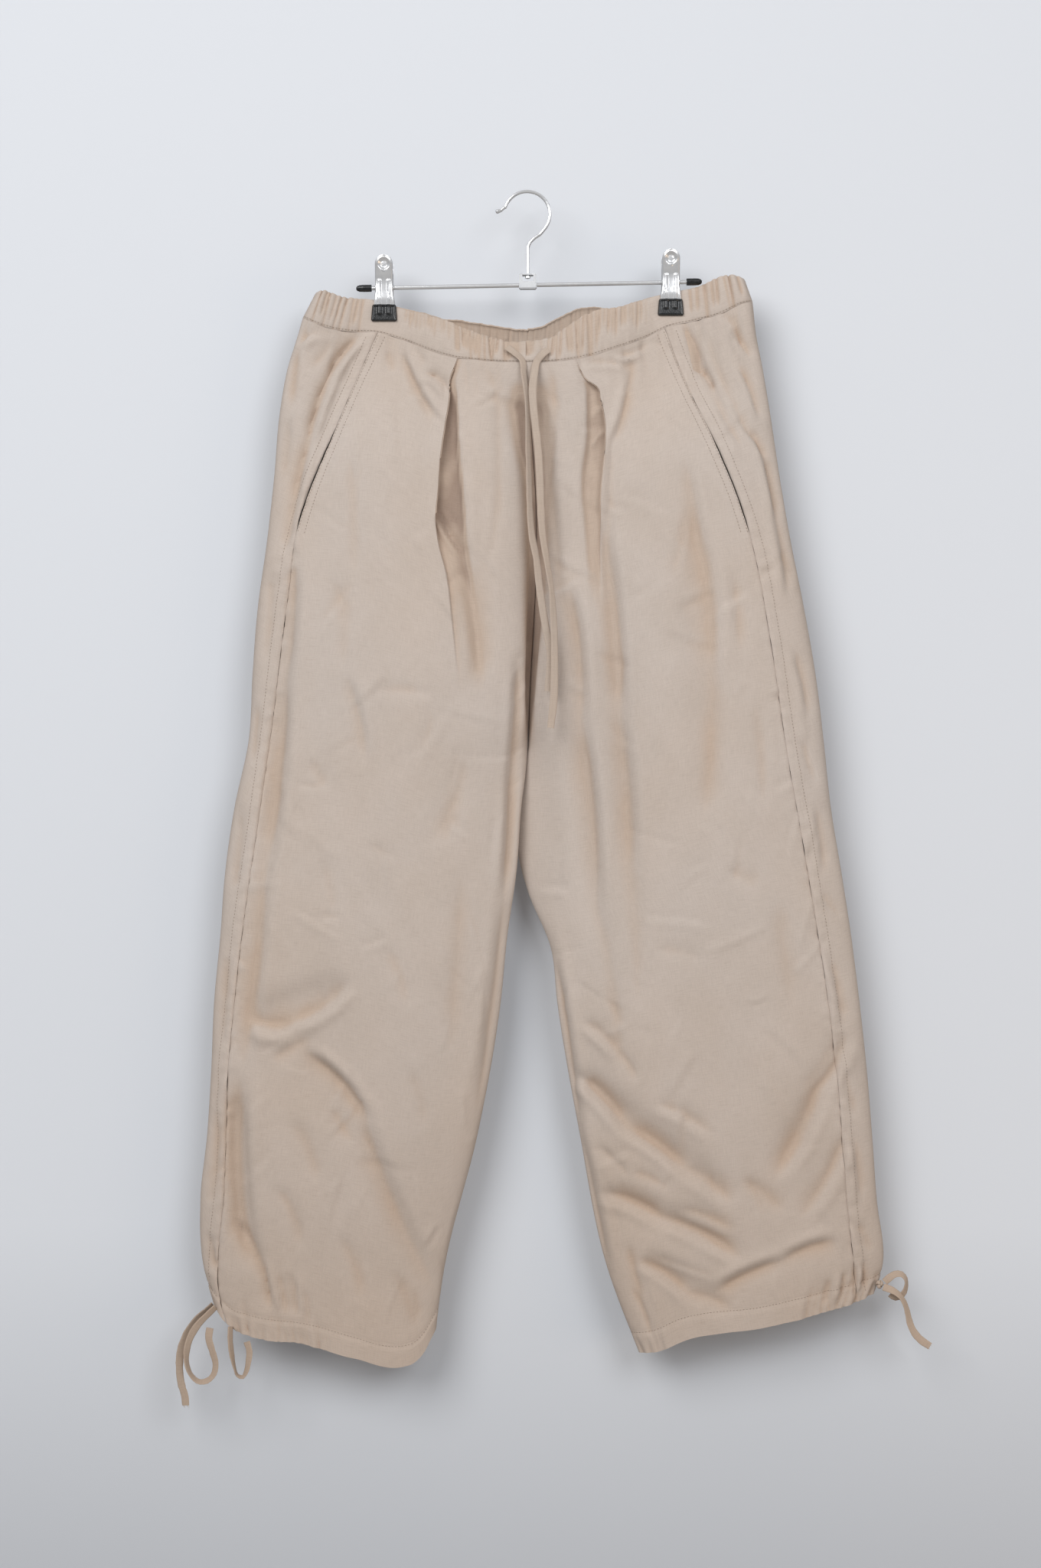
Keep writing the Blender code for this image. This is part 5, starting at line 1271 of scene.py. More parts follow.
def waistband(name, front, material):
    way = -1.0 if front else 1.0
    half = np.linspace(0.0, 1.0, BAND_GRID_COLUMNS)
    ups = np.linspace(0.0, 1.0, BAND_GRID_ROWS)
    turns, up = np.meshgrid(way * half, ups)
    right_rows = gather_table(21 if front else 23, RIGHT_GATHERS if front else BACK_GATHERS)
    left_rows = gather_table(22 if front else 24, LEFT_GATHERS if front else BACK_GATHERS)
    right, right_folds = band_surface(SIDES[0], turns, up, right_rows)
    left, left_folds = band_surface(SIDES[1], turns, up, left_rows)
    outside = np.concatenate([right, left[:, ::-1][:, 1:]], axis=1)
    folds = np.concatenate([right_folds, left_folds[:, ::-1][:, 1:]], axis=1)
    guess = np.zeros_like(outside)
    guess[:, :, 1] = 1.0 if front else -1.0
    # The top edge comes first, so that the rows run down as the panels' do.
    outside = outside[::-1]
    folds = folds[::-1]
    normals = inward_normals(outside, guess)
    thin = np.minimum(BAND_WALL, np.maximum(np.abs(outside[:, :, 1:2]) - 0.0004, 0.0006))
    inside = outside + normals * thin
    inside[0, :, 2] -= 0.0003
    for grid in (outside, inside):
        grid[:, (0, -1), 1] += way * SEAM_GAP * 0.6
    obj = wall_mesh(f"{name}_cloth", outside, inside, folds, guess, material)
    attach(obj, "root")
    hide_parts(name)
    return obj, outside, -normals


def nodes_of(material):
    return material.node_tree.nodes, material.node_tree.links


def new_material(name):
    material = bpy.data.materials.new(name)
    material.use_nodes = True
    nodes, links = nodes_of(material)
    return material, nodes, links, nodes["Principled BSDF"]


def add_node(nodes, kind, **settings):
    node = nodes.new(kind)
    for key, value in settings.items():
        if key in node.inputs:
            node.inputs[key].default_value = value
        else:
            setattr(node, key, value)
    return node


def stretched_noise(nodes, links, source, scale, detail=2.0, roughness=0.5):
    """A noise whose grain is set along each axis of the source."""
    mapping = add_node(nodes, "ShaderNodeMapping")
    mapping.inputs["Scale"].default_value = scale
    links.new(source, mapping.inputs["Vector"])
    noise = add_node(nodes, "ShaderNodeTexNoise", Scale=1.0, Detail=detail, Roughness=roughness)
    links.new(mapping.outputs["Vector"], noise.inputs["Vector"])
    return noise.outputs["Fac"]


def ramp(nodes, links, source, stops):
    node = add_node(nodes, "ShaderNodeValToRGB")
    elements = node.color_ramp.elements
    while len(elements) < len(stops):
        elements.new(0.5)
    for element, (position, colour) in zip(elements, stops):
        element.position = position
        element.color = (*colour, 1.0)
    links.new(source, node.inputs["Fac"])
    return node.outputs["Color"]


def mix_colours(nodes, links, blend, factor, first, second):
    node = add_node(nodes, "ShaderNodeMix", data_type="RGBA", blend_type=blend)
    if isinstance(factor, float):
        node.inputs["Factor"].default_value = factor
    else:
        links.new(factor, node.inputs["Factor"])
    for socket, value in ((6, first), (7, second)):
        if isinstance(value, tuple):
            node.inputs[socket].default_value = (*value, 1.0)
        else:
            links.new(value, node.inputs[socket])
    return node.outputs[2]


def math_node(nodes, links, operation, first, second):
    node = add_node(nodes, "ShaderNodeMath", operation=operation)
    for socket, value in ((0, first), (1, second)):
        if isinstance(value, (int, float)):
            node.inputs[socket].default_value = value
        else:
            links.new(value, node.inputs[socket])
    return node.outputs[0]


def cloth_material(name, face, warm, slub=1.0):
    """Plain-woven cotton and linen: uneven slubs across and finer threads down, with painted shade that makes it warmer
    and darker in the folds and towards the hems.
    """
    material, nodes, links, shader = new_material(name)
    cloth = add_node(nodes, "ShaderNodeUVMap", uv_map="cloth").outputs["UV"]
    place = add_node(nodes, "ShaderNodeTexCoord").outputs["Object"]
    slubs = stretched_noise(nodes, links, cloth, (85.0, 1500.0, 1.0), 3.0, 0.62)
    threads = stretched_noise(nodes, links, cloth, (1500.0, 90.0, 1.0), 2.0, 0.5)
    grain = stretched_noise(nodes, links, cloth, (900.0, 1100.0, 1.0), 2.0, 0.6)
    patches = stretched_noise(nodes, links, place, (7.0, 7.0, 5.0), 3.0, 0.55)
    clouds = stretched_noise(nodes, links, place, (26.0, 26.0, 18.0), 2.0, 0.5)
    base = ramp(nodes, links, patches, ((0.32, face), (0.68, warm)))
    pale = ramp(nodes, links, slubs, ((0.30, (0.91, 0.895, 0.88)), (0.50, (1.0, 1.0, 1.0)), (0.72, (1.05, 1.05, 1.045))))
    base = mix_colours(nodes, links, "MULTIPLY", 0.85 * slub, base, pale)
    fine = ramp(nodes, links, threads, ((0.30, (0.945, 0.94, 0.935)), (0.62, (1.03, 1.03, 1.03))))
    base = mix_colours(nodes, links, "MULTIPLY", 0.8, base, fine)
    cloudy = ramp(nodes, links, clouds, ((0.30, (0.975, 0.97, 0.96)), (0.70, (1.02, 1.02, 1.02))))
    base = mix_colours(nodes, links, "MULTIPLY", 1.0, base, cloudy)
    # Painted shade: the fold attribute darkens and warms the cloth where it lies deep in a fold, a pleat or the centre
    # valley, broken up by the clouds
    fold = add_node(nodes, "ShaderNodeAttribute", attribute_name="fold").outputs["Fac"]
    broken = math_node(nodes, links, "MULTIPLY_ADD", clouds, 0.9)
    broken.node.inputs[2].default_value = 0.05
    depth = math_node(nodes, links, "MULTIPLY", fold, broken)
    plain = (1.0, 1.0, 1.0)
    painted_fold_shade = ramp(nodes, links, depth, ((0.05, plain), (0.30, CLOTH_FOLD_SHADE), (0.60, CLOTH_FOLD_SHADE), (1.0, CLOTH_DEEP_SHADE)))
    base = mix_colours(nodes, links, "MULTIPLY", 1.0, base, painted_fold_shade)
    # Painted shade and warm bounced light: the cloth is a little warmer and darker towards the hems
    parts = add_node(nodes, "ShaderNodeSeparateXYZ")
    links.new(place, parts.inputs["Vector"])
    low = add_node(nodes, "ShaderNodeMapRange")
    low.inputs["From Min"].default_value = LOW_FROM
    low.inputs["From Max"].default_value = LOW_TO
    links.new(parts.outputs["Z"], low.inputs["Value"])
    painted_low_shade = mix_colours(nodes, links, "MIX", low.outputs["Result"], plain, CLOTH_LOW_SHADE)
    base = mix_colours(nodes, links, "MULTIPLY", 1.0, base, painted_low_shade)
    links.new(base, shader.inputs["Base Color"])
    shader.inputs["Roughness"].default_value = 0.92
    shader.inputs["Specular IOR Level"].default_value = 0.18
    shader.inputs["Sheen Weight"].default_value = 0.12
    shader.inputs["Sheen Roughness"].default_value = 0.55
    height = math_node(nodes, links, "ADD", slubs, math_node(nodes, links, "MULTIPLY", threads, 0.7))
    height = math_node(nodes, links, "ADD", height, math_node(nodes, links, "MULTIPLY", grain, 0.6))
    bump = add_node(nodes, "ShaderNodeBump", Strength=0.42, Distance=0.00022)
    links.new(height, bump.inputs["Height"])
    links.new(bump.outputs["Normal"], shader.inputs["Normal"])
    return material


def thread_material():
    material, nodes, links, shader = new_material("sewing_thread")
    place = add_node(nodes, "ShaderNodeTexCoord").outputs["Object"]
    ply = stretched_noise(nodes, links, place, (2600.0, 2600.0, 2600.0), 2.0, 0.6)
    colour = ramp(nodes, links, ply, ((0.3, (0.27, 0.21, 0.16)), (0.7, (0.42, 0.34, 0.28))))
    links.new(colour, shader.inputs["Base Color"])
    shader.inputs["Roughness"].default_value = 0.62
    return material


def chrome_material():
    material, nodes, links, shader = new_material("chrome")
    place = add_node(nodes, "ShaderNodeTexCoord").outputs["Object"]
    haze = stretched_noise(nodes, links, place, (160.0, 160.0, 160.0), 3.0, 0.6)
    tone = ramp(nodes, links, haze, ((0.3, (0.88, 0.89, 0.91)), (0.7, (0.95, 0.955, 0.965))))
    links.new(tone, shader.inputs["Base Color"])
    # Partly painted reflection: the chrome is only partly metallic, and the rest is a pale diffuse surface that stands
    # in for its bright reflections
    shader.inputs["Metallic"].default_value = 0.68
    gloss = add_node(nodes, "ShaderNodeMapRange")
    gloss.inputs["To Min"].default_value = 0.14
    gloss.inputs["To Max"].default_value = 0.28
    scuffs = stretched_noise(nodes, links, place, (900.0, 240.0, 900.0), 2.0, 0.7)
    links.new(scuffs, gloss.inputs["Value"])
    links.new(gloss.outputs["Result"], shader.inputs["Roughness"])
    dents = stretched_noise(nodes, links, place, (380.0, 380.0, 380.0), 2.0, 0.5)
    bump = add_node(nodes, "ShaderNodeBump", Strength=0.10, Distance=0.0002)
    links.new(dents, bump.inputs["Height"])
    links.new(bump.outputs["Normal"], shader.inputs["Normal"])
    return material


def coating_material():
    material, nodes, links, shader = new_material("black_vinyl")
    place = add_node(nodes, "ShaderNodeTexCoord").outputs["Object"]
    dust = stretched_noise(nodes, links, place, (420.0, 420.0, 420.0), 4.0, 0.65)
    tone = ramp(nodes, links, dust, ((0.35, (0.006, 0.0065, 0.0075)), (0.80, (0.022, 0.024, 0.026))))
    links.new(tone, shader.inputs["Base Color"])
    gloss = add_node(nodes, "ShaderNodeMapRange")
    gloss.inputs["To Min"].default_value = 0.12
    gloss.inputs["To Max"].default_value = 0.38
    links.new(dust, gloss.inputs["Value"])
    links.new(gloss.outputs["Result"], shader.inputs["Roughness"])
    shader.inputs["Coat Weight"].default_value = 0.15
    shader.inputs["Coat Roughness"].default_value = 0.10
    ripple = stretched_noise(nodes, links, place, (520.0, 520.0, 520.0), 2.0, 0.5)
    bump = add_node(nodes, "ShaderNodeBump", Strength=0.35, Distance=0.0004)
    links.new(ripple, bump.inputs["Height"])
    links.new(bump.outputs["Normal"], shader.inputs["Normal"])
    return material


def plain_material(name, top, bottom, low, high):
    """A pale painted surface whose tone changes a little with height, between its bottom and top colours; on the wall
    the darker bottom is painted shade.
    """
    material, nodes, links, shader = new_material(name)
    place = add_node(nodes, "ShaderNodeNewGeometry").outputs["Position"]
    parts = add_node(nodes, "ShaderNodeSeparateXYZ")
    links.new(place, parts.inputs["Vector"])
    share = add_node(nodes, "ShaderNodeMapRange")
    share.inputs["From Min"].default_value = low
    share.inputs["From Max"].default_value = high
    links.new(parts.outputs["Z"], share.inputs["Value"])
    tone = mix_colours(nodes, links, "MIX", share.outputs["Result"], bottom, top)
    links.new(tone, shader.inputs["Base Color"])
    shader.inputs["Roughness"].default_value = 0.95
    shader.inputs["Specular IOR Level"].default_value = 0.1
    return material


def mesh_object(name, bm, material, sharp_degrees=45.0):
    mesh = bpy.data.meshes.new(name)
    bm.to_mesh(mesh)
    bm.free()
    mesh.materials.append(material)
    mesh.shade_smooth()
    mesh.set_sharp_from_angle(angle=math.radians(sharp_degrees))
    obj = bpy.data.objects.new(name, mesh)
    bpy.context.scene.collection.objects.link(obj)
    return obj


def dress(obj, slot, *nodes):
    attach(obj, "root")
    if nodes:
        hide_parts(*nodes)
    return obj


def smooth_route(points, spacing):
    """Points at an even spacing along a smooth curve through a short list."""
    route = np.array(points, float)
    lengths = np.concatenate([[0.0], np.cumsum(np.linalg.norm(np.diff(route, axis=0), axis=1))])
    count = max(int(round(lengths[-1] / spacing)), 4)
    at = np.linspace(0.0, lengths[-1], count + 1)
    rows = np.column_stack([lengths, route])
    return np.column_stack([curve_of(rows, axis, at) for axis in (1, 2, 3)])


def tape(name, line, twists, material, width=TAPE_WIDTH):
    """A limp flat tape along a line of points, twisted as its table says."""
    tangent = np.gradient(line, axis=0)
    tangent /= np.linalg.norm(tangent, axis=1)[:, None]
    share = np.linspace(0.0, 1.0, len(line))
    angle = np.radians(curve_of(twists, 1, share))
    facing = np.array([0.0, -1.0, 0.0]) - tangent * (tangent @ np.array([0.0, -1.0, 0.0]))[:, None]
    facing /= np.linalg.norm(facing, axis=1)[:, None]
    aside = np.cross(tangent, facing)
    wide = aside * np.cos(angle)[:, None] + facing * np.sin(angle)[:, None]
    thick = facing * np.cos(angle)[:, None] - aside * np.sin(angle)[:, None]
    outline = TAPE_OUTLINE
    wobble = 1.0 + 0.07 * ripples(share * 40.0, share * 0.0, 1.0, 1.0, len(name))
    rings = []
    for index in range(len(line)):
        ring = [
            line[index]
            + wide[index] * (across * width / 2 * wobble[index])
            + thick[index] * (out * TAPE_THICKNESS / 2)
            for across, out in outline
        ]
        rings.append(ring)
    points = np.array(rings)
    ends = [line[0], line[-1]]
    per = len(outline)
    vertices = np.concatenate([points.reshape(-1, 3), np.array(ends)])
    faces = []
    for index in range(len(line) - 1):
        for corner in range(per):
            after = (corner + 1) % per
            faces.append(
                (index * per + corner, index * per + after, (index + 1) * per + after, (index + 1) * per + corner)
            )
    first_end = len(line) * per
    last = (len(line) - 1) * per
    for corner in range(per):
        after = (corner + 1) % per
        faces.append((first_end, after, corner))
        faces.append((first_end + 1, last + corner, last + after))
    mesh = bpy.data.meshes.new(name)
    mesh.from_pydata(vertices.tolist(), [], faces)
    long = np.linspace(0.0, np.linalg.norm(np.diff(line, axis=0), axis=1).sum(), len(line))
    around = np.linspace(0.0, 2 * width, per)
    cloth = np.concatenate([np.stack(np.meshgrid(around, long), axis=2).reshape(-1, 2), [[0, 0], [0, long[-1]]]])
    layer = mesh.uv_layers.new(name="cloth")
    corners = np.zeros(len(mesh.loops), int)
    mesh.loops.foreach_get("vertex_index", corners)
    layer.data.foreach_set("uv", cloth[corners].ravel().astype(np.float32))
    # A small fixed amount of painted fold shade all along the tape
    attribute = mesh.attributes.new("fold", "FLOAT", "POINT")
    attribute.data.foreach_set("value", np.full(len(vertices), 0.25, np.float32))
    bm = bmesh.new()
    bm.from_mesh(mesh)
    bmesh.ops.recalc_face_normals(bm, faces=bm.faces)
    bm.to_mesh(mesh)
    bm.free()
    mesh.materials.append(material)
    mesh.shade_smooth()
    mesh.set_sharp_from_angle(angle=math.radians(60.0))
    obj = bpy.data.objects.new(name, mesh)
    bpy.context.scene.collection.objects.link(obj)
    return obj, line, wide


def frayed_end(name, line, wide, material):
    """A few loose threads at a tape's cut end."""
    rng = np.random.default_rng(len(name))
    tip = line[-1]
    way = line[-1] - line[-3]
    way /= np.linalg.norm(way)
    bm = bmesh.new()
    for index in range(9):
        start = tip - way * 0.0004 + wide[-1] * TAPE_WIDTH / 2 * (index / 4.0 - 1.0) * 0.92
        length = rng.uniform(0.0010, 0.0026)
        bend = rng.normal(0.0, 0.0007, 3)
        strand(bm, [start, start + way * length * 0.5 + bend * 0.4, start + way * length + bend], 0.00014)
    return mesh_object(name, bm, material)


def strand(bm, points, radius, sides=3):
    """A thin thread through a few points."""
    rings = []
    for index, point in enumerate(points):
        before = points[max(index - 1, 0)]
        after = points[min(index + 1, len(points) - 1)]
        way = Vector(after - before).normalized()
        aside = way.orthogonal().normalized()
        other = way.cross(aside)
        wide = radius * (0.35 if index in (0, len(points) - 1) else 1.0)
        ring = []
        for corner in range(sides):
            angle = 2 * math.pi * corner / sides
            ring.append(bm.verts.new(Vector(point) + aside * math.cos(angle) * wide + other * math.sin(angle) * wide))
        rings.append(ring)
    for ring, following in zip(rings, rings[1:]):
        for corner in range(sides):
            after = (corner + 1) % sides
            bm.faces.new((ring[corner], ring[after], following[after], following[corner]))
    bm.faces.new(rings[0][::-1])
    bm.faces.new(rings[-1])


def stitch_row(bm, line, out, first=0.0, last=1.0):
    """Stitches along a line of points on the cloth, each dipping into it at both ends."""
    lengths = np.concatenate([[0.0], np.cumsum(np.linalg.norm(np.diff(line, axis=0), axis=1))])
    start = lengths[-1] * first
    stop = lengths[-1] * last
    count = int((stop - start) / STITCH_SPACING)
    for index in range(count):
        begin = start + index * STITCH_SPACING
        at = [begin, begin + STITCH_LENGTH / 2, begin + STITCH_LENGTH]
        points = np.column_stack([np.interp(at, lengths, line[:, axis]) for axis in range(3)])
        lifts = np.column_stack([np.interp(at, lengths, out[:, axis]) for axis in range(3)])
        raised = points + lifts * np.array([-0.00012, 0.00026, -0.00012])[:, None]
        strand(bm, raised, STITCH_RADIUS)


def line_beside(points, outward, distances, offset):
    """One point in each row of a grid, at this distance from the edge that distances are taken from."""
    line = []
    out = []
    for row in range(points.shape[0]):
        order = np.argsort(distances[row])
        line.append([np.interp(offset, distances[row][order], points[row, order, axis]) for axis in range(3)])
        out.append([np.interp(offset, distances[row][order], outward[row, order, axis]) for axis in range(3)])
    return np.array(line), np.array(out)


def line_above_hem(points, outward, above_hem, offset):
    """One point in each column of a grid, at this height above the hem."""
    line = []
    out = []
    for column in range(points.shape[1]):
        order = np.argsort(above_hem[:, column])
        height = above_hem[order, column]
        line.append([np.interp(offset, height, points[order, column, axis]) for axis in range(3)])
        out.append([np.interp(offset, height, outward[order, column, axis]) for axis in range(3)])
    return np.array(line), np.array(out)


def make_cloth(cloth, thread):
    panels = {}
    for side in SIDES:
        for front in (True, False):
            name = ("front_" if front else "back_") + side.name
            panels[name] = cloth_panel(name, side, front, cloth)
    bands = {name: waistband(name, name == "waistband_front", cloth) for name in ("waistband_front", "waistband_back")}
    stitches = bmesh.new()
    for side in SIDES:
        _, points, outward, to_seam, above_hem = panels[f"front_{side.name}"]
        # Two rows along the pocket's mouth, where the front's edge is turned in
        heights = points[:, -1, 2]
        rows = heights > POCKET_BOTTOM
        for offset in (0.0016, 0.0075):
            line, out = line_beside(points[rows], outward[rows], to_seam[rows], offset)
            stitch_row(stitches, line, out, 0.01, 1.0)
        line, out = line_above_hem(points, outward, above_hem, HEM_CHANNEL)
        stitch_row(stitches, line, out, 0.015, 0.985)
        _, points, outward, to_seam, above_hem = panels[f"back_{side.name}"]
        line, out = line_beside(points, outward, to_seam, 0.0088)
        stitch_row(stitches, line, out, 0.005, 0.995)
        line, out = line_above_hem(points, outward, above_hem, HEM_CHANNEL)
        stitch_row(stitches, line, out, 0.015, 0.985)
    for name, (_, points, outward) in bands.items():
        row = int(len(points) * 0.93)
        stitch_row(stitches, points[row], outward[row], 0.01, 0.99)
    obj = mesh_object("topstitching", stitches, thread)
    dress(obj, "cotton_linen")
    return panels, bands


def trefoil_knot(material):
    """The small overhand knot of the tie at the left hem."""
    low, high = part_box("hem_tie_left_knot")
    centre = (low + high) / 2
    size = (high - low) / 2
    turns = 60
    points = []
    for index in range(turns):
        t = 2 * math.pi * index / turns
        x = (math.sin(t) + 2 * math.sin(2 * t)) / 3.0
        z = (math.cos(t) - 2 * math.cos(2 * t)) / 3.0
        y = -math.sin(3 * t)
        points.append(centre + Vector((x * size.x * 0.62, y * size.y * 0.55, z * size.z * 0.62)))
    bm = bmesh.new()
    rings = []
    for index, point in enumerate(points):
        way = (points[(index + 1) % turns] - points[index - 1]).normalized()
        outward = (point - centre).normalized()
        aside = way.cross(outward).normalized()
        face = aside.cross(way).normalized()
        ring = []
        for corner in range(10):
            angle = 2 * math.pi * corner / 10
            ring.append(bm.verts.new(point + aside * math.cos(angle) * 0.0019 + face * math.sin(angle) * 0.0010))
        rings.append(ring)
    for index in range(turns):
        ring, following = rings[index], rings[(index + 1) % turns]
        for corner in range(10):
            after = (corner + 1) % 10
            bm.faces.new((ring[corner], ring[after], following[after], following[corner]))
    bmesh.ops.recalc_face_normals(bm, faces=bm.faces)
    return dress(mesh_object("hem_knot", bm, material), "tape", "hem_tie_left_knot")


def in_front_of(line, cloth):
    """The line drawn forward wherever the cloth would cover it, and eased on both sides of such a place."""
    push = np.zeros(len(line))
    for index, point in enumerate(line):
        near = np.abs(cloth[:, [0, 2]] - point[[0, 2]]).max(axis=1) < TAPE_REACH
        if near.any():
            push[index] = max(0.0, point[1] - (cloth[near, 1].min() - TAPE_CLEARANCE))
    spread = np.array([push[max(index - 2, 0) : index + 3].max() for index in range(len(push))])
    eased = np.convolve(np.pad(spread, 2, mode="edge"), np.ones(5) / 5, mode="valid")
    moved = line.copy()
    moved[:, 1] -= np.maximum(eased, push)
    return moved


def make_tapes(material, fronts):
    routes = {
        "drawstring_right": DRAWSTRING_RIGHT_START + DRAWSTRING_RIGHT,
        "drawstring_left": DRAWSTRING_LEFT_START + DRAWSTRING_LEFT,
        "hem_tie_right_tail": HEM_TIE_RIGHT_TAIL,
        "hem_tie_right_loop": HEM_TIE_RIGHT_LOOP,
        "hem_tie_right_short_loop": HEM_TIE_RIGHT_SHORT_LOOP,
        "hem_tie_left_loop": HEM_TIE_LEFT_LOOP,
        "hem_tie_left_tail": HEM_TIE_LEFT_TAIL,
    }
    for name, route in routes.items():
        line = smooth_route(route, TAPE_STEP)
        twists = TWISTS[name]
        if name.startswith("drawstring"):
            line = in_front_of(line, fronts)
            twists = tuple((share, angle * DRAWSTRING_TWIST) for share, angle in twists)
        obj, line, wide = tape(f"{name}_tape", line, twists, material)
        dress(obj, "tape", name)
        bare = name in FREE_ENDS
        if bare:
            dress(frayed_end(f"{name}_fray", line, wide, material), "tape")


def clip_frame(along):
    """Where a clip sits on the bar."""
    return BAR_CENTRE + Matrix.Rotation(-BAR_TILT, 3, "Y") @ Vector((along, 0.0, 0.0))


def plate_half_width(height):
    """Half the width of a clip's plate: round at the top, straight, and flared at the foot."""
    radius = CLIP_WIDTH / 2
    below_top = CLIP_TOP - height
    if below_top < radius:
        return math.sqrt(max(radius**2 - (radius - below_top) ** 2, 0.0))
    flare = float(smooth(-0.002, CLIP_FOOT, height))
    return radius + (CLIP_FOOT_WIDTH - CLIP_WIDTH) / 2 * flare


def plate_depth(height):
    """How far the plate stands from the clip's middle, by height."""
    return float(curve_of(PLATE_PROFILE, 1, height))


def clip_plate(name, along, front, material):
    """A pressed steel plate with a dished hole, and on the front plate a curved slot and two raised ribs."""
    way = -1.0 if front else 1.0
    rows, columns = 96, 44
    bm = bmesh.new()
    layers = {0: [], 1: []}
    for row in range(rows + 1):
        share = row / rows
        height = CLIP_TOP - (CLIP_TOP - CLIP_FOOT) * share**1.25
        half = max(plate_half_width(height), 0.0006)
        for layer, line in layers.items():
            line.append([])
        for column in range(columns + 1):
            u = 2.0 * column / columns - 1.0
            x = half * math.sin(u * math.pi / 2)
            y = plate_depth(height) + 0.0007 * (1.0 - u * u) - 0.0012 * smooth(0.86, 1.0, abs(x) / half) ** 2
            distance = math.hypot(x, height - DISH_HEIGHT)
            y -= DISH_DEPTH * (1.0 - float(smooth(DISH_HOLE, DISH_RADIUS, distance)))
            y += 0.0003 * math.exp(-(((distance - DISH_RADIUS - 0.0003) / 0.0005) ** 2))
            if front:
                rib = float(smooth(RIB_WIDTH + 0.0004, RIB_WIDTH - 0.0004, math.hypot(abs(x) - RIB_OFFSET,
                            max(height - RIB_TOP, 0.0))))
                y += RIB_HEIGHT * rib
            layers[0][-1].append(bm.verts.new((x, way * (y + CLIP_SHEET), height)))
            layers[1][-1].append(bm.verts.new((x, way * y, height)))
    outer, inner = layers[0], layers[1]
    for row in range(rows):
        for column in range(columns):
            quad = (outer[row][column], outer[row][column + 1], outer[row + 1][column + 1], outer[row + 1][column])
            bm.faces.new(quad)
            quad = (inner[row][column], inner[row + 1][column], inner[row + 1][column + 1], inner[row][column + 1])
            bm.faces.new(quad)
        for column in (0, columns):
            bm.faces.new((outer[row][column], outer[row + 1][column], inner[row + 1][column], inner[row][column]))
    for column in range(columns):
        for row in (0, rows):
            bm.faces.new((outer[row][column], outer[row][column + 1], inner[row][column + 1], inner[row][column]))
    bmesh.ops.recalc_face_normals(bm, faces=bm.faces)
    obj = mesh_object(name, bm, material, 40.0)
    obj.location = clip_frame(along)
    cutters = [slot_cutter(along)] if front else []
    cutters.append(hole_cutter(along))
    cut(obj, cutters)
    return obj


def hole_cutter(along):
    bm = bmesh.new()
    bmesh.ops.create_cone(bm, cap_ends=True, segments=40, radius1=DISH_HOLE, radius2=DISH_HOLE, depth=0.05)
    bmesh.ops.transform(bm, matrix=Matrix.Rotation(math.pi / 2, 4, "X"), verts=bm.verts)
    bmesh.ops.translate(bm, vec=(0.0, 0.0, DISH_HEIGHT), verts=bm.verts)
    cutter = mesh_object("hole_cutter", bm, bpy.data.materials["chrome"])
    cutter.location = clip_frame(along)
    return cutter


def slot_cutter(along):
    """A thin upturned crescent below the hole."""
    bm = bmesh.new()
    top = []
    bottom = []
    steps = 16
    for index in range(steps + 1):
        u = 2.0 * index / steps - 1.0
        x = u * SLOT_HALF_WIDTH
        z = SLOT_HEIGHT + SLOT_SAG * u * u
        half = SLOT_THICKNESS / 2 * math.sqrt(max(1.0 - u * u, 0.02))
        top.append((x, z + half))
        bottom.append((x, z - half))
    outline = top + bottom[::-1]
    near = [bm.verts.new((x, -0.03, z)) for x, z in outline]
    far = [bm.verts.new((x, 0.0, z)) for x, z in outline]
    bm.faces.new(near)
    bm.faces.new(far[::-1])
    for index in range(len(outline)):
        after = (index + 1) % len(outline)
        bm.faces.new((near[index], far[index], far[after], near[after]))
    bmesh.ops.recalc_face_normals(bm, faces=bm.faces)
    cutter = mesh_object("slot_cutter", bm, bpy.data.materials["chrome"])
    cutter.location = clip_frame(along)
    return cutter


def cut(obj, cutters):
    """Cuts the object with each cutter and removes the cutters."""
    for cutter in cutters:
        modifier = obj.modifiers.new(cutter.name, "BOOLEAN")
        modifier.operation = "DIFFERENCE"
        modifier.object = cutter
    bpy.context.view_layer.update()
    graph = bpy.context.evaluated_depsgraph_get()
    mesh = bpy.data.meshes.new_from_object(obj.evaluated_get(graph))
    obj.modifiers.clear()
    obj.data = mesh
    mesh.set_sharp_from_angle(angle=math.radians(40.0))
    for cutter in cutters:
        bpy.data.objects.remove(cutter)


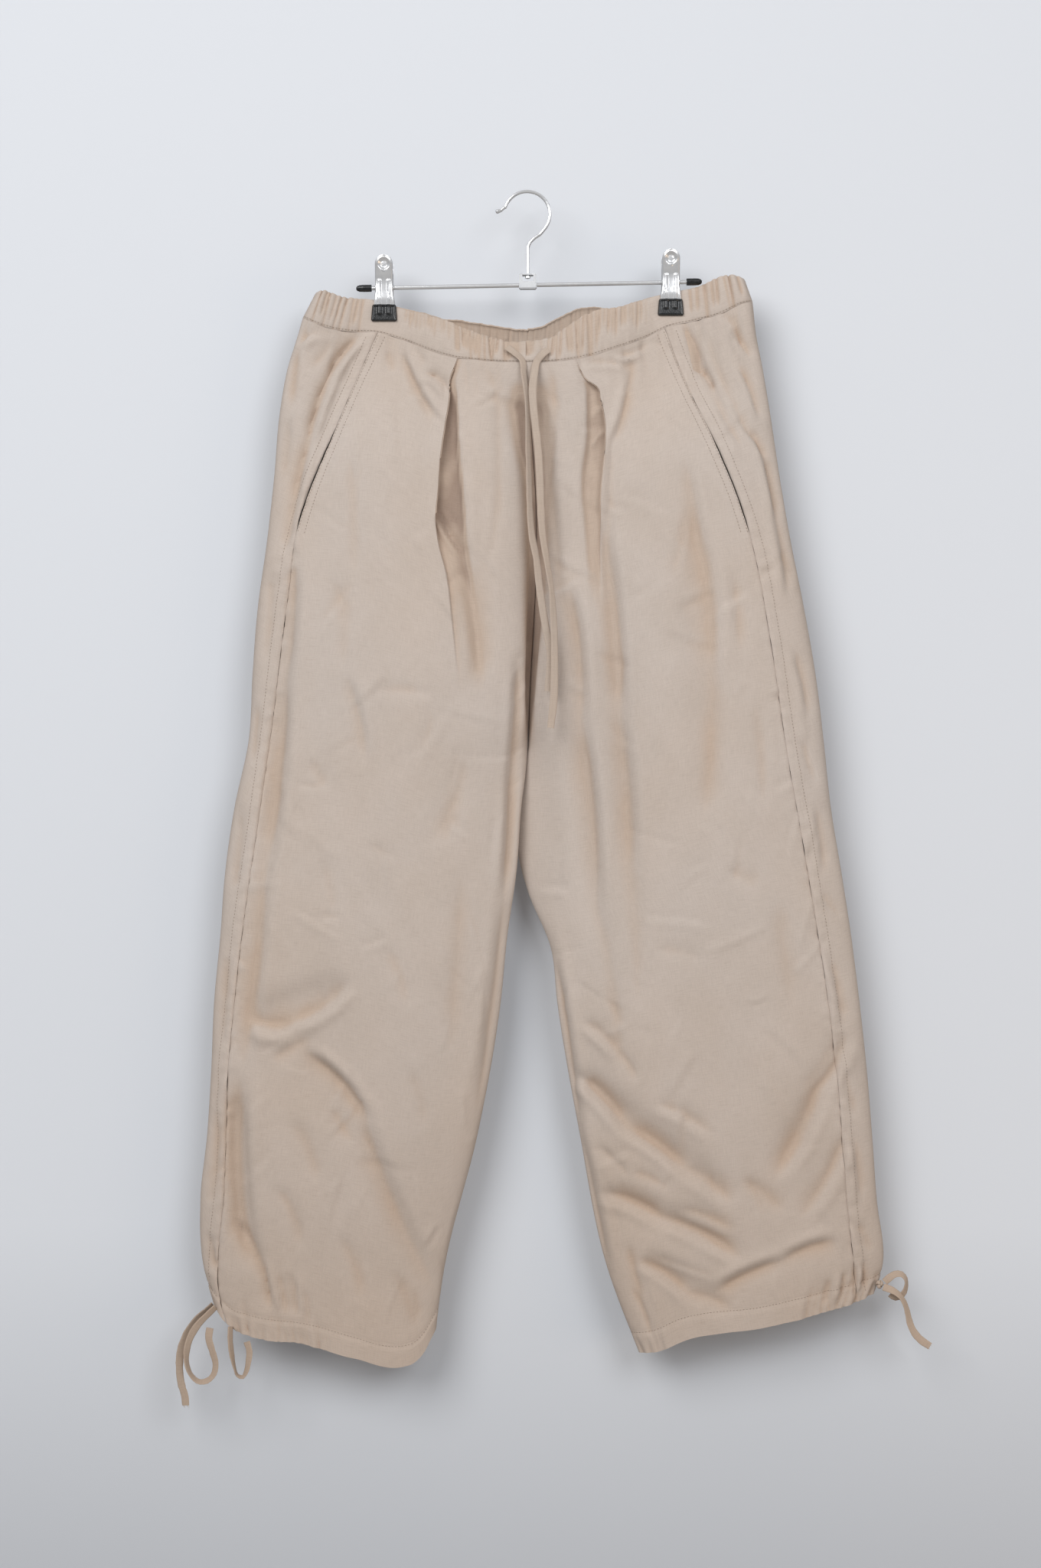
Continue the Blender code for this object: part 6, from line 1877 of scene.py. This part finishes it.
def clip_jaw(name, along, front, material):
    """A jaw dipped in black vinyl, with a rolled rim and the plate's ribs showing through."""
    way = -1.0 if front else 1.0
    rows, columns = 40, 48
    inner_y = GRIPPED_DEPTH + SEAM_GAP
    bm = bmesh.new()
    near = []
    far = []
    for row in range(rows + 1):
        share = row / rows
        height = CLIP_FOOT + 0.0004 - JAW_HEIGHT * share
        half = (JAW_TOP_WIDTH + (JAW_FOOT_WIDTH - JAW_TOP_WIDTH) * share**0.8) / 2
        corner = JAW_CORNER
        from_end = min(share, 1.0 - share) * JAW_HEIGHT
        cut_in = corner - math.sqrt(max(corner**2 - (corner - min(from_end, corner)) ** 2, 0.0))
        half -= cut_in * (1.0 if share > 0.5 else 0.5)
        near.append([])
        far.append([])
        for column in range(columns + 1):
            u = 2.0 * column / columns - 1.0
            x = half * math.sin(u * math.pi / 2)
            from_side = half - abs(x)
            edge = min(from_side, from_end)
            round_off = math.sqrt(max(1.0 - (1.0 - min(edge / 0.0012, 1.0)) ** 2, 0.0))
            rim = 0.0005 * math.exp(-(((edge - 0.0013) / 0.0006) ** 2))
            rib = float(smooth(RIB_WIDTH + 0.0012, RIB_WIDTH - 0.0006, math.hypot(abs(x) - RIB_OFFSET,
                        max(JAW_RIB_END - height, 0.0))))
            y = inner_y + 0.0004 + (JAW_DEPTH - 0.0010) * round_off + rim + 0.0010 * rib * (1.0 if front else 0.0)
            near[-1].append(bm.verts.new((x, way * y, height)))
            far[-1].append(bm.verts.new((x, way * inner_y, height)))
    for row in range(rows):
        for column in range(columns):
            bm.faces.new((near[row][column], near[row][column + 1], near[row + 1][column + 1], near[row + 1][column]))
            bm.faces.new((far[row][column], far[row + 1][column], far[row + 1][column + 1], far[row][column + 1]))
        for column in (0, columns):
            bm.faces.new((near[row][column], near[row + 1][column], far[row + 1][column], far[row][column]))
    for column in range(columns):
        for row in (0, rows):
            bm.faces.new((near[row][column], near[row][column + 1], far[row][column + 1], far[row][column]))
    bmesh.ops.recalc_face_normals(bm, faces=bm.faces)
    obj = mesh_object(name, bm, material, 55.0)
    obj.location = clip_frame(along)
    return obj


def make_hanger(chrome, coating):
    for node in ("hook", "hook_bracket", "bar", "clip_right_spring", "clip_left_spring"):
        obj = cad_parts[node]
        obj.data.materials.clear()
        obj.data.materials.append(chrome)
    for node in ("bar_tip_right", "bar_tip_left"):
        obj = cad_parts[node]
        obj.data.materials.clear()
        obj.data.materials.append(coating)
    for name, along in CLIP_PLACES.items():
        for face in ("front", "back"):
            front = face == "front"
            dress(clip_plate(f"plate_{name}_{face}", along, front, chrome), "chrome_metal", f"clip_{name}_{face}")
            jaw = clip_jaw(f"jaw_{name}_{face}", along, front, coating)
            dress(jaw, "black_coating", f"clip_{name}_jaw_{face}")
        dress(clip_ears(f"ears_{name}", along, chrome), "chrome_metal")


def clip_ears(name, along, material):
    """The folded ears of both plates, which the bar passes through."""
    bm = bmesh.new()
    for edge in (-1, 1):
        for inset, depth in ((0.0004, -0.0018), (0.0018, 0.0018)):
            x = edge * (CLIP_WIDTH / 2 - CLIP_SHEET / 2 - inset)
            ear = bmesh.ops.create_cone(
                bm, cap_ends=True, segments=28, radius1=EAR_RADIUS, radius2=EAR_RADIUS, depth=CLIP_SHEET
            )
            bmesh.ops.rotate(bm, verts=ear["verts"], matrix=Matrix.Rotation(math.pi / 2, 3, "Y"))
            bmesh.ops.translate(bm, vec=(x, depth * 0.5, 0.0), verts=ear["verts"])
    bmesh.ops.bevel(bm, geom=bm.edges[:], offset=0.0002, segments=2, affect="EDGES")
    obj = mesh_object(name, bm, material, 40.0)
    obj.location = clip_frame(along)
    return obj


def make_stage():
    # The wall's paint is darker towards the floor, as painted shade
    wall_paint = plain_material("wall_paint", WALL_TOP, WALL_BOTTOM_SHADE, -1.50, -0.95)
    nodes, links = nodes_of(wall_paint)
    shader = nodes["Principled BSDF"]
    output = nodes["Material Output"]
    seen_through = add_node(nodes, "ShaderNodeBsdfTransparent")
    facing = add_node(nodes, "ShaderNodeNewGeometry")
    either = add_node(nodes, "ShaderNodeMixShader")
    links.new(facing.outputs["Backfacing"], either.inputs["Fac"])
    links.new(shader.outputs["BSDF"], either.inputs[1])
    links.new(seen_through.outputs["BSDF"], either.inputs[2])
    links.new(either.outputs["Shader"], output.inputs["Surface"])
    wall = stage_plane("wall", 8.0, wall_paint)
    wall.rotation_euler = (math.pi / 2, 0.0, 0.0)
    wall.location = (0.0, WALL_Y, FLOOR_Z + 4.0)
    wall.visible_shadow = False
    wall.visible_diffuse = False
    wall.visible_glossy = False
    floor_paint = plain_material("floor_paint", FLOOR_COLOUR, FLOOR_COLOUR, -2.0, 2.0)
    floor = stage_plane("floor", 12.0, floor_paint)
    floor.location = (0.0, 0.0, FLOOR_Z)


def stage_plane(name, size, material):
    bm = bmesh.new()
    bmesh.ops.create_grid(bm, x_segments=1, y_segments=1, size=size / 2)
    return mesh_object(name, bm, material)


def area_light(name, position, target, size, power, colour):
    data = bpy.data.lights.new(name, "AREA")
    data.shape = "DISK"
    data.size = size
    data.energy = power
    data.color = colour
    light = bpy.data.objects.new(name, data)
    light.location = position
    light.rotation_euler = (Vector(target) - Vector(position)).to_track_quat("-Z", "Y").to_euler()
    bpy.context.scene.collection.objects.link(light)
    return light


def make_lights():
    for name, position, target, size, power, colour in LIGHTS:
        area_light(name, position, target, size, power, colour)
    world = bpy.data.worlds.new("studio")
    world.use_nodes = True
    nodes = world.node_tree.nodes
    links = world.node_tree.links
    background = nodes["Background"]
    background.inputs["Strength"].default_value = WORLD_STRENGTH
    parts = add_node(nodes, "ShaderNodeSeparateXYZ")
    links.new(add_node(nodes, "ShaderNodeTexCoord").outputs["Generated"], parts.inputs["Vector"])
    height = math_node(nodes, links, "MULTIPLY_ADD", parts.outputs["Z"], 0.5)
    height.node.inputs[2].default_value = 0.5
    links.new(ramp(nodes, links, height, WORLD_STOPS), background.inputs["Color"])
    bpy.context.scene.world = world


def make_camera():
    data = bpy.data.cameras.new("camera")
    data.sensor_fit = "AUTO"
    data.sensor_width = SENSOR
    data.lens = SENSOR * CAMERA_DISTANCE / VIEW_HEIGHT
    camera = bpy.data.objects.new("camera", data)
    camera.location = VIEW_CENTRE + Vector((0.0, -CAMERA_DISTANCE, 0.0))
    camera.rotation_euler = (math.pi / 2, 0.0, 0.0)
    bpy.context.scene.collection.objects.link(camera)
    bpy.context.scene.camera = camera


def main():
    bpy.context.scene.view_settings.view_transform = "Standard"
    make_camera()
    make_lights()
    make_stage()
    cloth = cloth_material("cotton_linen_cloth", CLOTH_FACE, CLOTH_WARM)
    tape_cloth = cloth_material("tape_cloth", TAPE_FACE, TAPE_WARM, 0.8)
    thread = thread_material()
    chrome = chrome_material()
    coating = coating_material()
    panels, bands = make_cloth(cloth, thread)
    fronts = np.concatenate([panels[f"front_{side.name}"][1].reshape(-1, 3) for side in SIDES])
    make_tapes(tape_cloth, fronts)
    trefoil_knot(tape_cloth)
    make_hanger(chrome, coating)


main()
